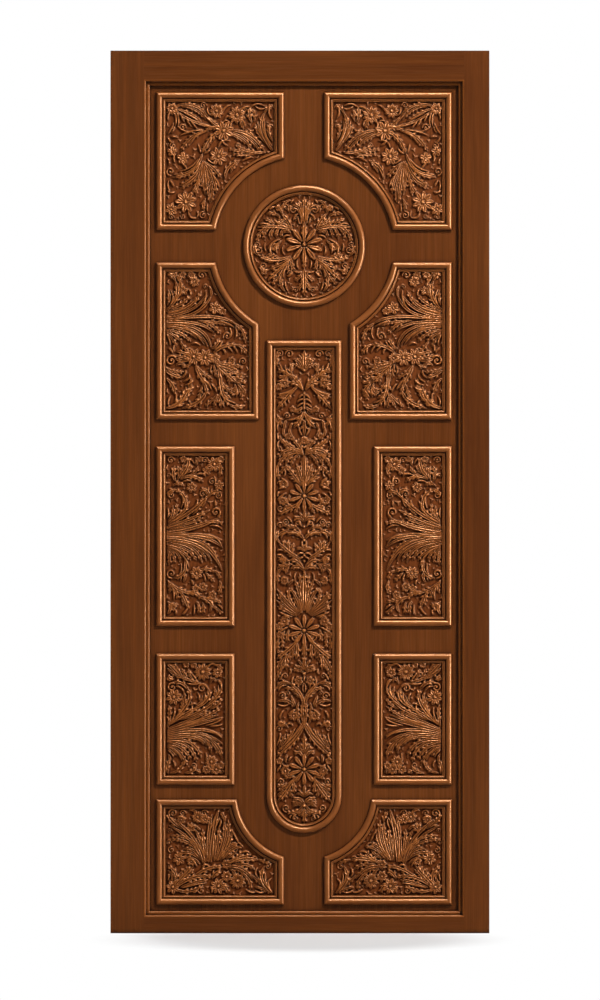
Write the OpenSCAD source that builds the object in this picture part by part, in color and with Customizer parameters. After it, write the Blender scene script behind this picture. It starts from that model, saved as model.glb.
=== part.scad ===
// Carved door leaf in its frame.
// Sizes are in millimetres. The front faces -Y and the leaf opens towards +Y.
// The origin lies at the bottom, under the middle of the frame.

/* [Frame] */
// Width over both jambs
frame_width = 916; // [800:1:1200]
// Height over the sill and the head
frame_height = 2134; // [1900:1:2500]
// Depth of the frame pieces from front to back
frame_depth = 62; // [56:1:100]
// Face width of the jamb that carries the hinges
hinge_jamb_face = 81; // [60:1:120]
// Face width of the jamb on the closing side
closing_jamb_face = 61; // [50:1:120]
// Face height of the head
head_face = 70; // [50:1:120]
// Face height of the sill
sill_face = 39; // [30:1:100]

/* [Stop] */
// Radius of each rounded step at the inner edge of the frame
step_round = 5; // [3:0.5:6]
// Width of the flat ledge between the two rounded steps
step_ledge = 4; // [2:0.5:8]
// Height of one step
step_drop = 9; // [7:0.5:14]

/* [Leaf] */
// Gap between the leaf's edges and the frame
edge_gap = 3; // [2:0.5:6]
// Gap between the leaf's face and the stop
face_gap = 1.5; // [1:0.5:4]
// Plain margin between the stop and the panels
panel_margin = 15; // [8:1:30]

/* [Panels] */
// Height of the two bottom corner panels
bottom_height = 255; // [200:1:300]
// Height of the two lower side panels
lower_height = 318; // [250:1:380]
// Height of the two upper side panels
upper_height = 381; // [320:1:420]
// Height of the two top corner panels
top_height = 334; // [280:1:380]
// Plain field between the bottom and the lower panels
bottom_row_gap = 35; // [20:1:80]
// Plain field between the lower and the middle panels
lower_row_gap = 66; // [30:1:100]
// Plain field between the middle and the upper panels
upper_row_gap = 64; // [30:1:100]
// Plain field between the upper and the top panels
top_row_gap = 78; // [60:1:120]
// Half of the plain strip between two corner panels
corner_near = 48; // [35:1:70]
// Outer radius of the round medallion's moulding
medallion_radius = 148; // [110:1:160]
// Clear field between the medallion and the hollow corners around it
medallion_gap = 69; // [50:1:80]
// Half of the long centre panel's width
centre_half = 91; // [80:1:110]
// Clear field between the medallion and the centre panel
centre_drop = 80; // [50:1:120]
// How far the centre panel's round foot reaches down between the bottom panels
foot_depth = 82; // [60:1:100]
// Clear field between the round foot and the hollow corners beside it
foot_gap = 72; // [55:1:85]
// Clear field between the centre panel and the middle and lower panels
centre_gap = 77; // [60:1:90]
// Clear field between the centre panel and the upper panels
upper_gap = 19; // [14:1:40]

/* [Moulding] */
// Width of the raised moulding round each panel
moulding_width = 23; // [18:0.5:28]
// Width of the moulding that rests on the field, the rest covers the panel's edge
moulding_seat = 12; // [8:0.5:14]
// Height of the plain edge below the large round
moulding_edge = 3; // [1:0.5:5]
// Radius of the large round
moulding_round = 7.5; // [5:0.5:9]
// Radius of the small inner bead
moulding_bead = 2.5; // [1.5:0.5:3]
// Height of the flat between the large round and the bead
moulding_flat = 1; // [0.5:0.5:2]
// Flat left inside the bead
moulding_lip = 2; // [1:0.5:3]
// Hairline left at the two mitres of a hollow corner
mitre_gap = 0.15; // [0.05:0.05:0.5]

/* [Carving] */
// Depth of the pockets in the leaf
pocket_depth = 12; // [8:0.5:18]
// How far the carved ground lies below the field
ground_drop = 4; // [2:0.5:6]
// Highest rise of the carving above its ground
carving_rise = 7; // [4:0.5:9]
// How far a carved stroke is rooted in its ground
carving_root = 1; // [0.5:0.5:2]
// Rise of a flower's middle over the other strokes
flower_rise = 0.6; // [0:0.1:1]
// Gap between a carved panel and its pocket
panel_gap = 0.3; // [0.1:0.1:1]

/* [Hinges] */
// Height of a hinge
hinge_height = 100; // [75:5:150]
// Width of a hinge plate along the leaf's edge
hinge_plate = 34; // [25:1:36]
// Thickness of a hinge plate
hinge_thick = 2.5; // [2:0.1:3.5]
// Outer radius of the knuckles
knuckle_radius = 5.5; // [5:0.5:8]
// Radius of a hinge pin
pin_radius = 3; // [2:0.5:4]
// Height of a pin's button
pin_button = 3; // [2:0.5:5]
// Step from the knuckle in to the pin's button
pin_button_step = 0.5; // [0:0.1:1]
// Length of a pin below its lowest knuckle
pin_tail = 1; // [0:0.5:3]
// Radial clearance between a pin and the knuckles
pin_clearance = 0.05; // [0.02:0.01:0.1]
// Gap between neighbouring knuckles
knuckle_gap = 0.4; // [0.2:0.1:1]
// Gap between the knuckles and the back face of the leaf
knuckle_stand = 0.6; // [0.4:0.1:3]
// Distance from the leaf's end to the nearest hinge
hinge_inset = 180; // [120:5:300]

/* [Fixing] */
// Radius of the fixing holes through the jambs
fixing_radius = 5; // [3:0.5:6]
// Distance between the two fixing holes of a jamb
fixing_spacing = 1200; // [600:10:1400]

/* [Hidden] */
$fn = 64;
eps = 0.01;
far = 400;
wood_frame = "#6a3c1c";
wood_field = "#66381a";
wood_carved = "#7a4722";
wood_moulding = "#8a5228";
hinge_metal = "#b08d4c";

// Frame opening and the stop around it
front_y = -frame_depth / 2;
back_y = frame_depth / 2;
open_left = -frame_width / 2 + hinge_jamb_face;
open_right = frame_width / 2 - closing_jamb_face;
open_low = sill_face;
open_high = frame_height - head_face;
stop_width = 2 * step_round + step_ledge;
stop_depth = 2 * step_drop;
open_width = open_right - open_left;
open_height = open_high - open_low;

// Leaf and its visible field
leaf_left = open_left + edge_gap;
leaf_right = open_right - edge_gap;
leaf_low = open_low + edge_gap;
leaf_high = open_high - edge_gap;
face_y = front_y + stop_depth + face_gap;
leaf_axis = (open_left + open_right) / 2;
field_half = open_width / 2 - stop_width;
field_low = open_low + stop_width;
field_high = open_high - stop_width;
field_height = field_high - field_low;

// Panel rows: two are counted up from the sill, two down from the head, the middle row fills the rest
side_far = field_half - panel_margin;
bottom_z = field_low + panel_margin;
lower_z = bottom_z + bottom_height + bottom_row_gap;
middle_z = lower_z + lower_height + lower_row_gap;
top_z = field_high - panel_margin - top_height;
medallion_z = top_z - top_row_gap / 2;
upper_z = top_z - top_row_gap - upper_height;
middle_height = upper_z - upper_row_gap - middle_z;
centre_z = bottom_z + bottom_height - foot_depth;
centre_height = medallion_z - medallion_radius - centre_drop - centre_z;

// Panel widths and the hollow corners
corner_w = side_far - corner_near;
upper_w = side_far - centre_half - upper_gap;
side_w = side_far - centre_half - centre_gap;
hollow_r = medallion_radius + medallion_gap;
foot_r = centre_half + foot_gap;
foot_rise = 8;
top_cy = medallion_z - top_z;
upper_cy = upper_z + upper_height - medallion_z;
bottom_cy = foot_depth - centre_half - foot_rise;

// Hinges
pin_x = open_left + edge_gap / 2;
pin_y = back_y + knuckle_stand + knuckle_radius;
hinge_z = [leaf_low + hinge_inset, (leaf_low + leaf_high) / 2 - hinge_height / 2,
  leaf_high - hinge_inset - hinge_height];
knuckle_pitch = hinge_height / 5;
fixing_y = (front_y + stop_depth + back_y) / 2;
fixing_z = frame_height / 2;

// Edge of the ground plates, measured from the moulding's outer edge
inset_plate = moulding_seat + panel_gap;

// Panels that the designs were drawn for: width, height, hollow's x, y and radius, 1 if it is at the top
top_drawn = [309, 333, 358, -39, 217, 0];
upper_drawn = [247, 381, 358, -39, 217, 1];
middle_drawn = [189, 435, 0, 0, 0, 0];
lower_drawn = [189, 318, 0, 0, 0, 0];
bottom_drawn = [309, 255, 358, -17, 163, 1];
medallion_drawn = 148;
centre_drawn = [91, 1192];

// Leaf and plume strokes of the top carving: root, bend, tip, width
top_strokes = [
  [280, 194, 240, 248, 262, 284, 12], [178, 240, 232, 244, 262, 190, 10.8],
  [46, 290, 85, 256, 150, 247, 9.7], [117, 164, 124, 116, 130, 66, 10.8],
  [110, 182, 96, 132, 44, 134, 10.8], [160, 242, 128, 230, 112, 186, 10.8],
  [120, 160, 142, 130, 145, 90, 10.8], [120, 150, 140, 108, 134, 68, 9.7],
  [124, 240, 80, 234, 60, 192, 9.7], [107, 160, 96, 122, 58, 108, 10.8],
  [110, 160, 106, 112, 82, 84, 9.7], [200, 236, 232, 222, 254, 188, 9.7],
  [262, 188, 228, 184, 192, 204, 9.7], [46, 294, 80, 286, 108, 263, 9.7],
  [166, 126, 168, 156, 200, 168, 10.8], [178, 236, 214, 228, 228, 200, 9.7],
  [62, 299, 95, 300, 120, 268, 8.5], [122, 162, 142, 150, 156, 127, 9.7],
  [264, 212, 246, 232, 240, 254, 9.7], [238, 184, 212, 180, 184, 184, 8.5]
];
// Flowers of the top carving: middle, radius, petals
top_flowers = [
  [71, 68, 23, 7], [163, 240, 21, 7]
];
// Scroll ends of the top carving: middle, radius, start, turn
top_curls = [
  [63, 248, 9, 0, 1], [113, 36, 9, 90, 1]
];
// Leaf and plume strokes of the upper carving: root, bend, tip, width
upper_strokes = [
  [25, 240, 150, 262, 190, 232, 10.8], [25, 232, 120, 236, 132, 176, 10.8],
  [25, 246, 110, 244, 132, 300, 10.8], [25, 236, 108, 242, 138, 212, 10.8],
  [25, 228, 104, 226, 124, 178, 9.7], [25, 250, 96, 256, 122, 304, 9.7],
  [25, 254, 90, 262, 108, 310, 9.7], [26, 28, 66, 34, 72, 78, 13], [156, 108, 152, 60, 178, 36, 12],
  [28, 268, 62, 300, 46, 336, 12], [144, 136, 172, 108, 196, 88, 12], [120, 66, 110, 38, 64, 28, 12],
  [44, 34, 92, 60, 82, 104, 8.5], [40, 280, 70, 320, 52, 348, 9.7],
  [150, 132, 180, 112, 216, 108, 9.7], [96, 130, 100, 108, 128, 78, 10.8],
  [140, 162, 160, 184, 196, 180, 10.8], [26, 268, 62, 274, 82, 300, 9.7],
  [100, 240, 136, 236, 155, 208, 9.7], [25, 218, 64, 212, 82, 190, 9.7]
];
// Flowers of the upper carving: middle, radius, petals
upper_flowers = [
  [90, 152, 18, 7], [118, 150, 18, 7]
];
// Scroll ends of the upper carving: middle, radius, start, turn
upper_curls = [
  [172, 202, 10, 200, -1], [210, 141, 9, 200, -1]
];
// Leaf and plume strokes of the middle carving: root, bend, tip, width
middle_strokes = [
  [26, 214, 130, 214, 158, 136, 12], [26, 218, 130, 224, 160, 190, 10.8],
  [26, 226, 100, 232, 154, 264, 10.8], [30, 246, 92, 276, 126, 316, 12],
  [26, 240, 80, 256, 128, 280, 10.8], [26, 204, 100, 200, 110, 154, 10.8],
  [80, 212, 136, 204, 148, 156, 9.7], [26, 236, 80, 246, 112, 262, 9.7],
  [30, 108, 60, 76, 108, 78, 9.7], [26, 198, 82, 192, 96, 160, 9.7], [66, 272, 84, 312, 48, 330, 10.8],
  [60, 206, 112, 192, 120, 158, 8.5], [70, 160, 76, 120, 42, 116, 10.8],
  [58, 360, 80, 380, 78, 408, 12], [28, 194, 66, 186, 82, 160, 9.7],
  [60, 356, 88, 372, 112, 350, 10.8], [56, 84, 74, 66, 76, 42, 10.8],
  [106, 70, 130, 66, 138, 44, 10.8], [28, 190, 60, 178, 56, 156, 8.5],
  [124, 312, 140, 334, 158, 322, 9.7]
];
// Flowers of the middle carving: middle, radius, petals
middle_flowers = [
  [140, 392, 16, 7], [97, 128, 14, 6]
];
// Scroll ends of the middle carving: middle, radius, start, turn
middle_curls = [
  [144, 276, 12, 300, 1], [36, 318, 10, 60, 1]
];
// Leaf and plume strokes of the lower carving: root, bend, tip, width
lower_strokes = [
  [28, 120, 110, 140, 160, 98, 10.8], [28, 124, 110, 146, 160, 118, 10.8],
  [28, 132, 100, 154, 148, 168, 10.8], [28, 128, 100, 146, 160, 162, 9.7],
  [28, 116, 110, 134, 134, 84, 10.8], [32, 146, 96, 200, 76, 232, 12],
  [28, 108, 96, 116, 108, 66, 10.8], [30, 136, 90, 160, 128, 178, 9.7],
  [60, 158, 130, 182, 140, 204, 10.8], [28, 104, 88, 108, 96, 56, 10.8],
  [36, 148, 80, 180, 104, 186, 10.8], [92, 184, 140, 206, 124, 234, 12],
  [28, 98, 66, 98, 82, 62, 10.8], [40, 152, 78, 196, 66, 226, 8.5],
  [120, 190, 152, 210, 158, 236, 10.8], [28, 94, 60, 88, 74, 48, 9.7],
  [110, 120, 148, 100, 148, 74, 9.7], [28, 140, 36, 170, 30, 192, 9.7],
  [56, 262, 80, 252, 106, 246, 9.7], [28, 292, 40, 282, 56, 262, 12]
];
// Flowers of the lower carving: middle, radius, petals
lower_flowers = [
  [112, 273, 20, 7], [42, 212, 17, 7]
];
// Scroll ends of the lower carving: middle, radius, start, turn
lower_curls = [
  [38, 236, 11, 60, 1], [111, 234, 11, 20, 1]
];
// Leaf and plume strokes of the bottom carving: root, bend, tip, width
bottom_strokes = [
  [132, 104, 134, 170, 150, 228, 13], [116, 96, 108, 160, 44, 204, 12],
  [126, 104, 122, 160, 134, 216, 12], [112, 104, 96, 160, 32, 190, 10.8],
  [146, 108, 172, 170, 164, 198, 12], [46, 40, 90, 78, 140, 66, 10.8],
  [150, 108, 182, 160, 174, 202, 10.8], [108, 120, 84, 160, 28, 158, 9.7],
  [280, 28, 240, 60, 262, 92, 12], [120, 104, 114, 150, 112, 180, 10.8],
  [180, 102, 214, 114, 246, 108, 12], [142, 110, 152, 156, 152, 182, 10.8],
  [92, 68, 128, 96, 158, 90, 10.8], [120, 110, 106, 160, 94, 182, 9.7], [46, 48, 62, 64, 88, 92, 12],
  [178, 92, 214, 94, 232, 62, 10.8], [48, 37, 76, 22, 112, 46, 9.7], [60, 42, 100, 58, 124, 60, 9.7],
  [156, 108, 186, 142, 210, 140, 9.7], [104, 110, 84, 134, 46, 122, 9.7]
];
// Flowers of the bottom carving: middle, radius, petals
bottom_flowers = [
  [197, 57, 18, 7], [150, 44, 17, 7]
];
// Scroll ends of the bottom carving: middle, radius, start, turn
bottom_curls = [
  [64, 221, 8, 0, 1], [116, 222, 8, 0, 1]
];
// Leaf and plume strokes of the medallion carving: root, bend, tip, width
medallion_strokes = [
  [30, 40, 70, 52, 112, 46, 10.8], [34, -26, 80, -42, 110, -22, 10.8], [36, -34, 60, -56, 86, -80, 12],
  [0, -58, 0, -84, 0, -118, 12], [0, 60, 0, 90, 0, 119, 10.8], [6, 56, 4, 106, 30, 98, 10.8],
  [40, -42, 56, -62, 64, -86, 9.7], [30, 42, 40, 66, 54, 78, 10.8], [34, 44, 58, 56, 76, 60, 9.7],
  [6, -4, 38, 0, 32, -22, 10.8], [90, 46, 110, 36, 114, 12, 9.7], [0, 10, 0, 30, 0, 56, 8.5],
  [9, 6, 30, 14, 46, 2, 9.7], [0, -4, 0, -25, 0, -46, 8.5], [66, 46, 84, 42, 82, 18, 9.7]
];
// Flowers of the medallion carving: middle, radius, petals
medallion_flowers = [
  [0, 4, 9, 6]
];
// Scroll ends of the medallion carving: middle, radius, start, turn
medallion_curls = [
  [109, -9, 9, 0, -1], [26, 88, 8, 60, -1]
];
// Leaf and plume strokes of the centre carving: root, bend, tip, width
centre_strokes = [
  [0, 264, 18, 220, 66, 186, 12], [0, 540, 0, 590, 0, 636, 12], [18, 1080, 44, 1056, 66, 1026, 12],
  [24, 132, 40, 104, 64, 76, 12], [3, 918, 30, 946, 66, 910, 10.8], [12, 532, 40, 556, 66, 590, 9.7],
  [5, 540, 10, 582, 24, 616, 9.7], [20, 462, 44, 438, 66, 422, 12], [2, 312, 4, 342, 34, 361, 12],
  [10, 664, 44, 682, 62, 704, 10.8], [0, 914, 0, 890, 0, 848, 10.8], [10, 920, 40, 930, 66, 966, 9.7],
  [4, 916, 30, 934, 64, 894, 9.7], [8, 842, 20, 860, 46, 892, 10.8], [4, 268, 24, 232, 60, 202, 7.4],
  [6, 536, 20, 582, 36, 592, 9.7], [14, 798, 34, 784, 64, 772, 10.8], [16, 528, 40, 540, 66, 562, 9.7],
  [2, 262, 6, 290, 4, 318, 9.7], [0, 1124, 0, 1145, 0, 1167, 12], [2, 1018, 6, 1000, 26, 982, 12],
  [4, 842, 8, 870, 18, 892, 9.7], [0, 194, 0, 214, 0, 238, 10.8], [24, 1102, 48, 1114, 64, 1130, 9.7],
  [2, 640, 16, 664, 36, 660, 10.8], [64, 318, 40, 328, 24, 306, 9.7],
  [4, 1074, 16, 1094, 38, 1090, 10.8], [4, 922, 14, 936, 30, 958, 9.7],
  [2, 712, 12, 730, 34, 732, 10.8], [18, 460, 15, 440, 20, 421, 10.8], [4, 66, 14, 46, 40, 50, 9.7],
  [38, 432, 47, 422, 43, 396, 10.8], [34, 361, 60, 372, 66, 349, 9.7], [0, 998, 0, 984, 0, 962, 10.8],
  [44, 428, 55, 410, 56, 390, 9.7], [22, 920, 42, 912, 44, 890, 9.7], [0, 58, 0, 42, 0, 25, 10.8],
  [34, 732, 56, 732, 65, 716, 9.7], [65, 886, 59, 876, 63, 863, 9.7], [2, 636, 12, 652, 34, 640, 9.7],
  [4, 1122, 10, 1146, 26, 1147, 9.7], [48, 488, 55, 476, 53, 448, 8.5],
  [10, 264, 20, 280, 14, 302, 8.5], [2, 72, 10, 90, 26, 80, 10.8], [8, 482, 32, 490, 28, 468, 9.7],
  [65, 1137, 57, 1146, 65, 1155, 9.7], [40, 650, 62, 640, 64, 624, 8.5],
  [4, 1016, 16, 1000, 42, 1000, 7.4], [0, 396, 0, 412, 0, 428, 9.7],
  [30, 1108, 38, 1130, 26, 1136, 9.7]
];
// Flowers of the centre carving: middle, radius, petals
centre_flowers = [
  [48, 1090, 12, 6], [0, 819, 11, 6], [0, 486, 11, 6], [0, 156, 11, 6], [48, 512, 11, 6],
  [46, 150, 11, 6]
];
// Scroll ends of the centre carving: middle, radius, start, turn
centre_curls = [
  [20, 474, 10, 20, -1], [16, 752, 9, 30, 1], [52, 332, 9, 0, 1], [44, 60, 9, 270, 1]
];
// Frame

// Section of the stepped stop: x runs into the opening, y runs back from the front face
module stop_section() {
  translate([-eps, step_round])
    square([step_round + eps, stop_depth - step_round]);
  intersection() {
    translate([0, step_round])
      circle(r = step_round);
    translate([-eps, 0])
      square([step_round + eps, step_round + eps]);
  }
  translate([step_round - eps, step_drop])
    square([step_ledge + eps, stop_depth - step_drop]);
  translate([step_round + step_ledge - eps, step_drop + step_round])
    square([step_round + eps, stop_depth - step_drop - step_round]);
  intersection() {
    translate([step_round + step_ledge, step_drop + step_round])
      circle(r = step_round);
    translate([step_round + step_ledge - eps, step_drop])
      square([step_round + eps, step_round + eps]);
  }
}

// Stop along Z with mitred ends, its root on the plane x = 0
module upright_stop(low, high) {
  intersection() {
    translate([0, front_y, low])
      linear_extrude(high - low)
        stop_section();
    rotate([90, 0, 0])
      linear_extrude(2 * far, center = true)
        polygon([[-1, low - 1], [stop_width, low + stop_width],
          [stop_width, high - stop_width], [-1, high + 1]]);
  }
}

// Stop along X with mitred ends, its root on the plane z = 0 and its lip upward
module level_stop(left, right) {
  intersection() {
    translate([left, front_y, 0])
      rotate([90, 0, 90])
        linear_extrude(right - left)
          mirror([1, -1])
            stop_section();
    rotate([90, 0, 0])
      linear_extrude(2 * far, center = true)
        polygon([[left - 1, -1], [right + 1, -1],
          [right - stop_width, stop_width], [left + stop_width, stop_width]]);
  }
}

// Two holes through a jamb along X
module fixing_holes(x) {
  for (side = [-1, 1])
    translate([x, fixing_y, fixing_z + side * fixing_spacing / 2])
      rotate([0, 90, 0])
        cylinder(r = fixing_radius, h = 2 * far, center = true);
}

module hinge_jamb() {
  color(wood_frame)
    difference() {
      union() {
        translate([-frame_width / 2, front_y, 0])
          cube([hinge_jamb_face, frame_depth, frame_height]);
        translate([open_left, 0, 0])
          upright_stop(open_low, open_high);
      }
      fixing_holes(open_left);
      for (z = hinge_z)
        translate([open_left - hinge_thick, back_y - hinge_plate, z])
          cube([hinge_thick + 1, hinge_plate + 1, hinge_height]);
    }
}

module closing_jamb() {
  color(wood_frame)
    difference() {
      union() {
        translate([open_right, front_y, 0])
          cube([closing_jamb_face, frame_depth, frame_height]);
        translate([open_right, 0, 0])
          mirror([1, 0, 0])
            upright_stop(open_low, open_high);
      }
      fixing_holes(open_right);
    }
}

module frame_head() {
  color(wood_frame)
    union() {
      translate([open_left, front_y, open_high])
        cube([open_width, frame_depth, head_face]);
      translate([0, 0, open_high])
        mirror([0, 0, 1])
          level_stop(open_left, open_right);
    }
}

module frame_sill() {
  color(wood_frame)
    union() {
      translate([open_left, front_y, 0])
        cube([open_width, frame_depth, sill_face]);
      translate([0, 0, open_low])
        level_stop(open_left, open_right);
    }
}

// Hinges

// Knuckles numbered from the bottom of a hinge
module knuckles(first) {
  for (k = [first : 2 : 4])
    translate([pin_x, pin_y, k * knuckle_pitch + knuckle_gap / 2])
      cylinder(r = knuckle_radius, h = knuckle_pitch - knuckle_gap);
}

module pin_hole() {
  translate([pin_x, pin_y, -pin_tail])
    cylinder(r = pin_radius + pin_clearance, h = hinge_height + 2 * pin_tail);
}

// Plate with its knuckles, x is the plate's low side
module hinge_leaf(x, first) {
  difference() {
    union() {
      translate([x, back_y - hinge_plate, 0])
        cube([hinge_thick, hinge_plate, hinge_height]);
      for (k = [first : 2 : 4])
        translate([x, back_y - hinge_thick, k * knuckle_pitch + knuckle_gap / 2])
          cube([hinge_thick, pin_y - back_y + hinge_thick, knuckle_pitch - knuckle_gap]);
      knuckles(first);
    }
    pin_hole();
  }
}

module jamb_plate(i) {
  color(hinge_metal)
    translate([0, 0, hinge_z[i]])
      hinge_leaf(open_left - hinge_thick, 0);
}

module leaf_plate(i) {
  color(hinge_metal)
    translate([0, 0, hinge_z[i]])
      hinge_leaf(leaf_left, 1);
}

module hinge_pin(i) {
  color(hinge_metal)
    translate([pin_x, pin_y, hinge_z[i]]) {
      translate([0, 0, -pin_tail])
        cylinder(r = pin_radius, h = hinge_height + pin_tail);
      translate([0, 0, hinge_height - knuckle_gap / 2])
        cylinder(r = knuckle_radius - pin_button_step, h = pin_button);
    }
}

// Panels: x runs right, y runs up and z rises from the field

// Section of the moulding: x runs inward from the outer edge, y rises from the field
module moulding_section() {
  polygon([[0, 0], [0, moulding_edge], [2 * moulding_round, moulding_edge],
    [2 * moulding_round, moulding_flat], [moulding_width, moulding_flat], [moulding_width, -ground_drop],
    [moulding_seat, -ground_drop], [moulding_seat, 0]]);
  intersection() {
    translate([moulding_round, moulding_edge])
      circle(r = moulding_round);
    translate([0, moulding_edge / 2])
      square([2 * moulding_round, 2 * moulding_round]);
  }
  intersection() {
    translate([moulding_width - moulding_lip - moulding_bead, moulding_flat])
      circle(r = moulding_bead);
    translate([2 * moulding_round, moulding_flat / 2])
      square([moulding_width - 2 * moulding_round, 2 * moulding_bead]);
  }
}

module bar_x(length) {
  rotate([90, 0, 90])
    linear_extrude(length)
      moulding_section();
}

module bar_y(length) {
  translate([0, length, 0])
    rotate([90, 0, 0])
      linear_extrude(length)
        moulding_section();
}

module mitre(points) {
  translate([0, 0, -far / 2])
    linear_extrude(far)
      polygon(points);
}

// Straight bars of a panel that is w wide and h high
module left_bar(w, h, m) {
  intersection() {
    bar_y(h);
    mitre([[0, 0], [m, m], [m, h - m], [0, h]]);
  }
}

module top_bar(w, h, m) {
  intersection() {
    translate([0, h, 0])
      mirror([0, 1, 0])
        bar_x(w);
    mitre([[0, h], [m, h - m], [w - m, h - m], [w, h]]);
  }
}

// Moulding round a plain panel
module plain_ring(w, h) {
  m = moulding_width;
  left_bar(w, h, m);
  top_bar(w, h, m);
  translate([w, 0, 0])
    mirror([1, 0, 0])
      left_bar(w, h, m);
  translate([0, h, 0])
    mirror([0, 1, 0])
      top_bar(w, h, m);
}

// Where a circle round (cx, cy) meets the level y and the upright x
function cut_x(cx, cy, r, y) = cx - sqrt(r * r - (y - cy) * (y - cy));
function cut_y(cx, cy, r, x) = cy + sqrt(r * r - (x - cx) * (x - cx));

// Moulding round a panel whose low right corner is hollowed by a circle round (cx, cy)
module hollow_ring(w, h, cx, cy, r) {
  m = moulding_width;
  p = [cut_x(cx, cy, r, 0), 0];
  pi = [cut_x(cx, cy, r + m, m), m];
  q = [w, cut_y(cx, cy, r, w)];
  qi = [w - m, cut_y(cx, cy, r + m, w - m)];
  out = [cx - r * 1.3, cy + r * 1.3];
  u = (pi - p) / norm(pi - p);
  v = (qi - q) / norm(qi - q);
  low = [u[1], -u[0]] * mitre_gap;
  high = [-v[1], v[0]] * mitre_gap;
  left_bar(w, h, m);
  top_bar(w, h, m);
  intersection() {
    bar_x(w);
    mitre([[0, 0], p, pi, [m, m]]);
  }
  intersection() {
    translate([w, 0, 0])
      mirror([1, 0, 0])
        bar_y(h);
    mitre([q, [w, h], [w - m, h - m], qi]);
  }
  intersection() {
    translate([cx, cy, 0])
      rotate_extrude()
        translate([r, 0])
          moulding_section();
    mitre([[cx, cy], q + high, qi + high, out, pi + low, p + low]);
  }
}

// Round moulding made of two halves
module round_ring(r) {
  for (turn = [0, 180])
    rotate([0, 0, turn])
      rotate_extrude(angle = 180)
        translate([r, 0])
          mirror([1, 0])
            moulding_section();
}

// Moulding of the centre panel: square head, round foot, x = 0 on its axis
module foot_ring(half, h) {
  m = moulding_width;
  translate([-half, 0, 0])
    top_bar(2 * half, h, m);
  for (side = [0, 1])
    mirror([side, 0, 0])
      intersection() {
        translate([-half, half, 0])
          bar_y(h - half);
        mitre([[-half, half], [-half + m, half], [-half + m, h - m], [-half, h]]);
      }
  translate([0, half, 0])
    rotate([0, 0, 180])
      rotate_extrude(angle = 180)
        translate([half, 0])
          mirror([1, 0])
            moulding_section();
}

// Outlines, set in from the moulding's outer edge
module plain_outline(w, h, inset) {
  translate([inset, inset])
    square([w - 2 * inset, h - 2 * inset]);
}

module hollow_outline(w, h, cx, cy, r, inset) {
  difference() {
    plain_outline(w, h, inset);
    translate([cx, cy])
      circle(r = r + inset);
  }
}

module foot_outline(half, h, inset) {
  translate([-half + inset, half])
    square([2 * half - 2 * inset, h - half - inset]);
  intersection() {
    translate([0, half])
      circle(r = half - inset);
    translate([-half, 0])
      square([2 * half, half + eps]);
  }
}

// Carving

// Point, direction and size of a stroke at the share t of its length
function stroke_at(s, t) = [
  (1 - t) * (1 - t) * s[0] + 2 * t * (1 - t) * s[2] + t * t * s[4],
  (1 - t) * (1 - t) * s[1] + 2 * t * (1 - t) * s[3] + t * t * s[5]];
function stroke_dir(s, t) = [
  2 * (1 - t) * (s[2] - s[0]) + 2 * t * (s[4] - s[2]),
  2 * (1 - t) * (s[3] - s[1]) + 2 * t * (s[5] - s[3])];
function stroke_half(s, t) = s[6] * lookup(t, [[0, 0.3], [0.35, 0.5], [0.7, 0.5], [1, 0.12]]);
function stroke_rise(t) = carving_rise * lookup(t, [[0, 0.5], [0.35, 0.9], [0.7, 1], [1, 0.4]]);
function across(s, t) = let(d = stroke_dir(s, t)) [-d[1], d[0]] / max(0.001, norm(d));
function section(s, t) = let(c = stroke_at(s, t), n = across(s, t) * stroke_half(s, t)) [
  [c[0] + n[0], c[1] + n[1], -carving_root],
  [c[0], c[1], stroke_rise(t)],
  [c[0] - n[0], c[1] - n[1], -carving_root]];
function foot(s, t) = [[stroke_at(s, t)[0], stroke_at(s, t)[1], -carving_root]];

// Convex piece round a list of points
module ridge(points) {
  hull()
    polyhedron(points = points, faces = [[for (i = [0 : len(points) - 1]) i]]);
}

module stroke(s) {
  ridge(concat(foot(s, 0), section(s, 0.35)));
  ridge(concat(section(s, 0.35), section(s, 0.7)));
  ridge(concat(section(s, 0.7), foot(s, 1)));
}

module flower(f) {
  for (k = [0 : f[3] - 1]) {
    a = 360 * k / f[3] + 17;
    u = [cos(a), sin(a)];
    petal = [f[0] + u[0] * f[2] * 0.3, f[1] + u[1] * f[2] * 0.3, f[0] + u[0] * f[2] * 0.65,
      f[1] + u[1] * f[2] * 0.65, f[0] + u[0] * f[2], f[1] + u[1] * f[2], f[2] * 3.6 / f[3]];
    ridge(concat(foot(petal, 0), section(petal, 0.6), foot(petal, 1)));
  }
  translate([f[0], f[1], -carving_root])
    cylinder(r1 = f[2] * 0.3, r2 = f[2] * 0.12, h = carving_rise + carving_root + flower_rise, $fn = 5);
}

module curl(c) {
  for (k = [0 : 3]) {
    a = c[3] + c[4] * 90 * k;
    b = a + c[4] * 90;
    ra = c[2] * (1 - 0.15 * k);
    rb = c[2] * (0.85 - 0.15 * k);
    m = (a + b) / 2;
    rm = (ra + rb) * 0.65;
    arc = [c[0] + ra * cos(a), c[1] + ra * sin(a), c[0] + rm * cos(m), c[1] + rm * sin(m),
      c[0] + rb * cos(b), c[1] + rb * sin(b), c[2] * 0.45];
    ridge(concat(foot(arc, 0), section(arc, 0.5), foot(arc, 1)));
  }
}

// A panel is [width, height, hollow's x, hollow's y, hollow's radius, 1 if the hollow is at the top]
// A radius of 0 means no hollow corner

// Room across a panel's ground at the level y
function room(p, y) =
  let(v = (p[5] == 1 ? p[1] - y : y) - p[3], r = p[4] > 0 ? p[4] + inset_plate : 0, w = p[0] - inset_plate)
  abs(v) < r ? min(w, p[2] - sqrt(r * r - v * v)) : w;

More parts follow.
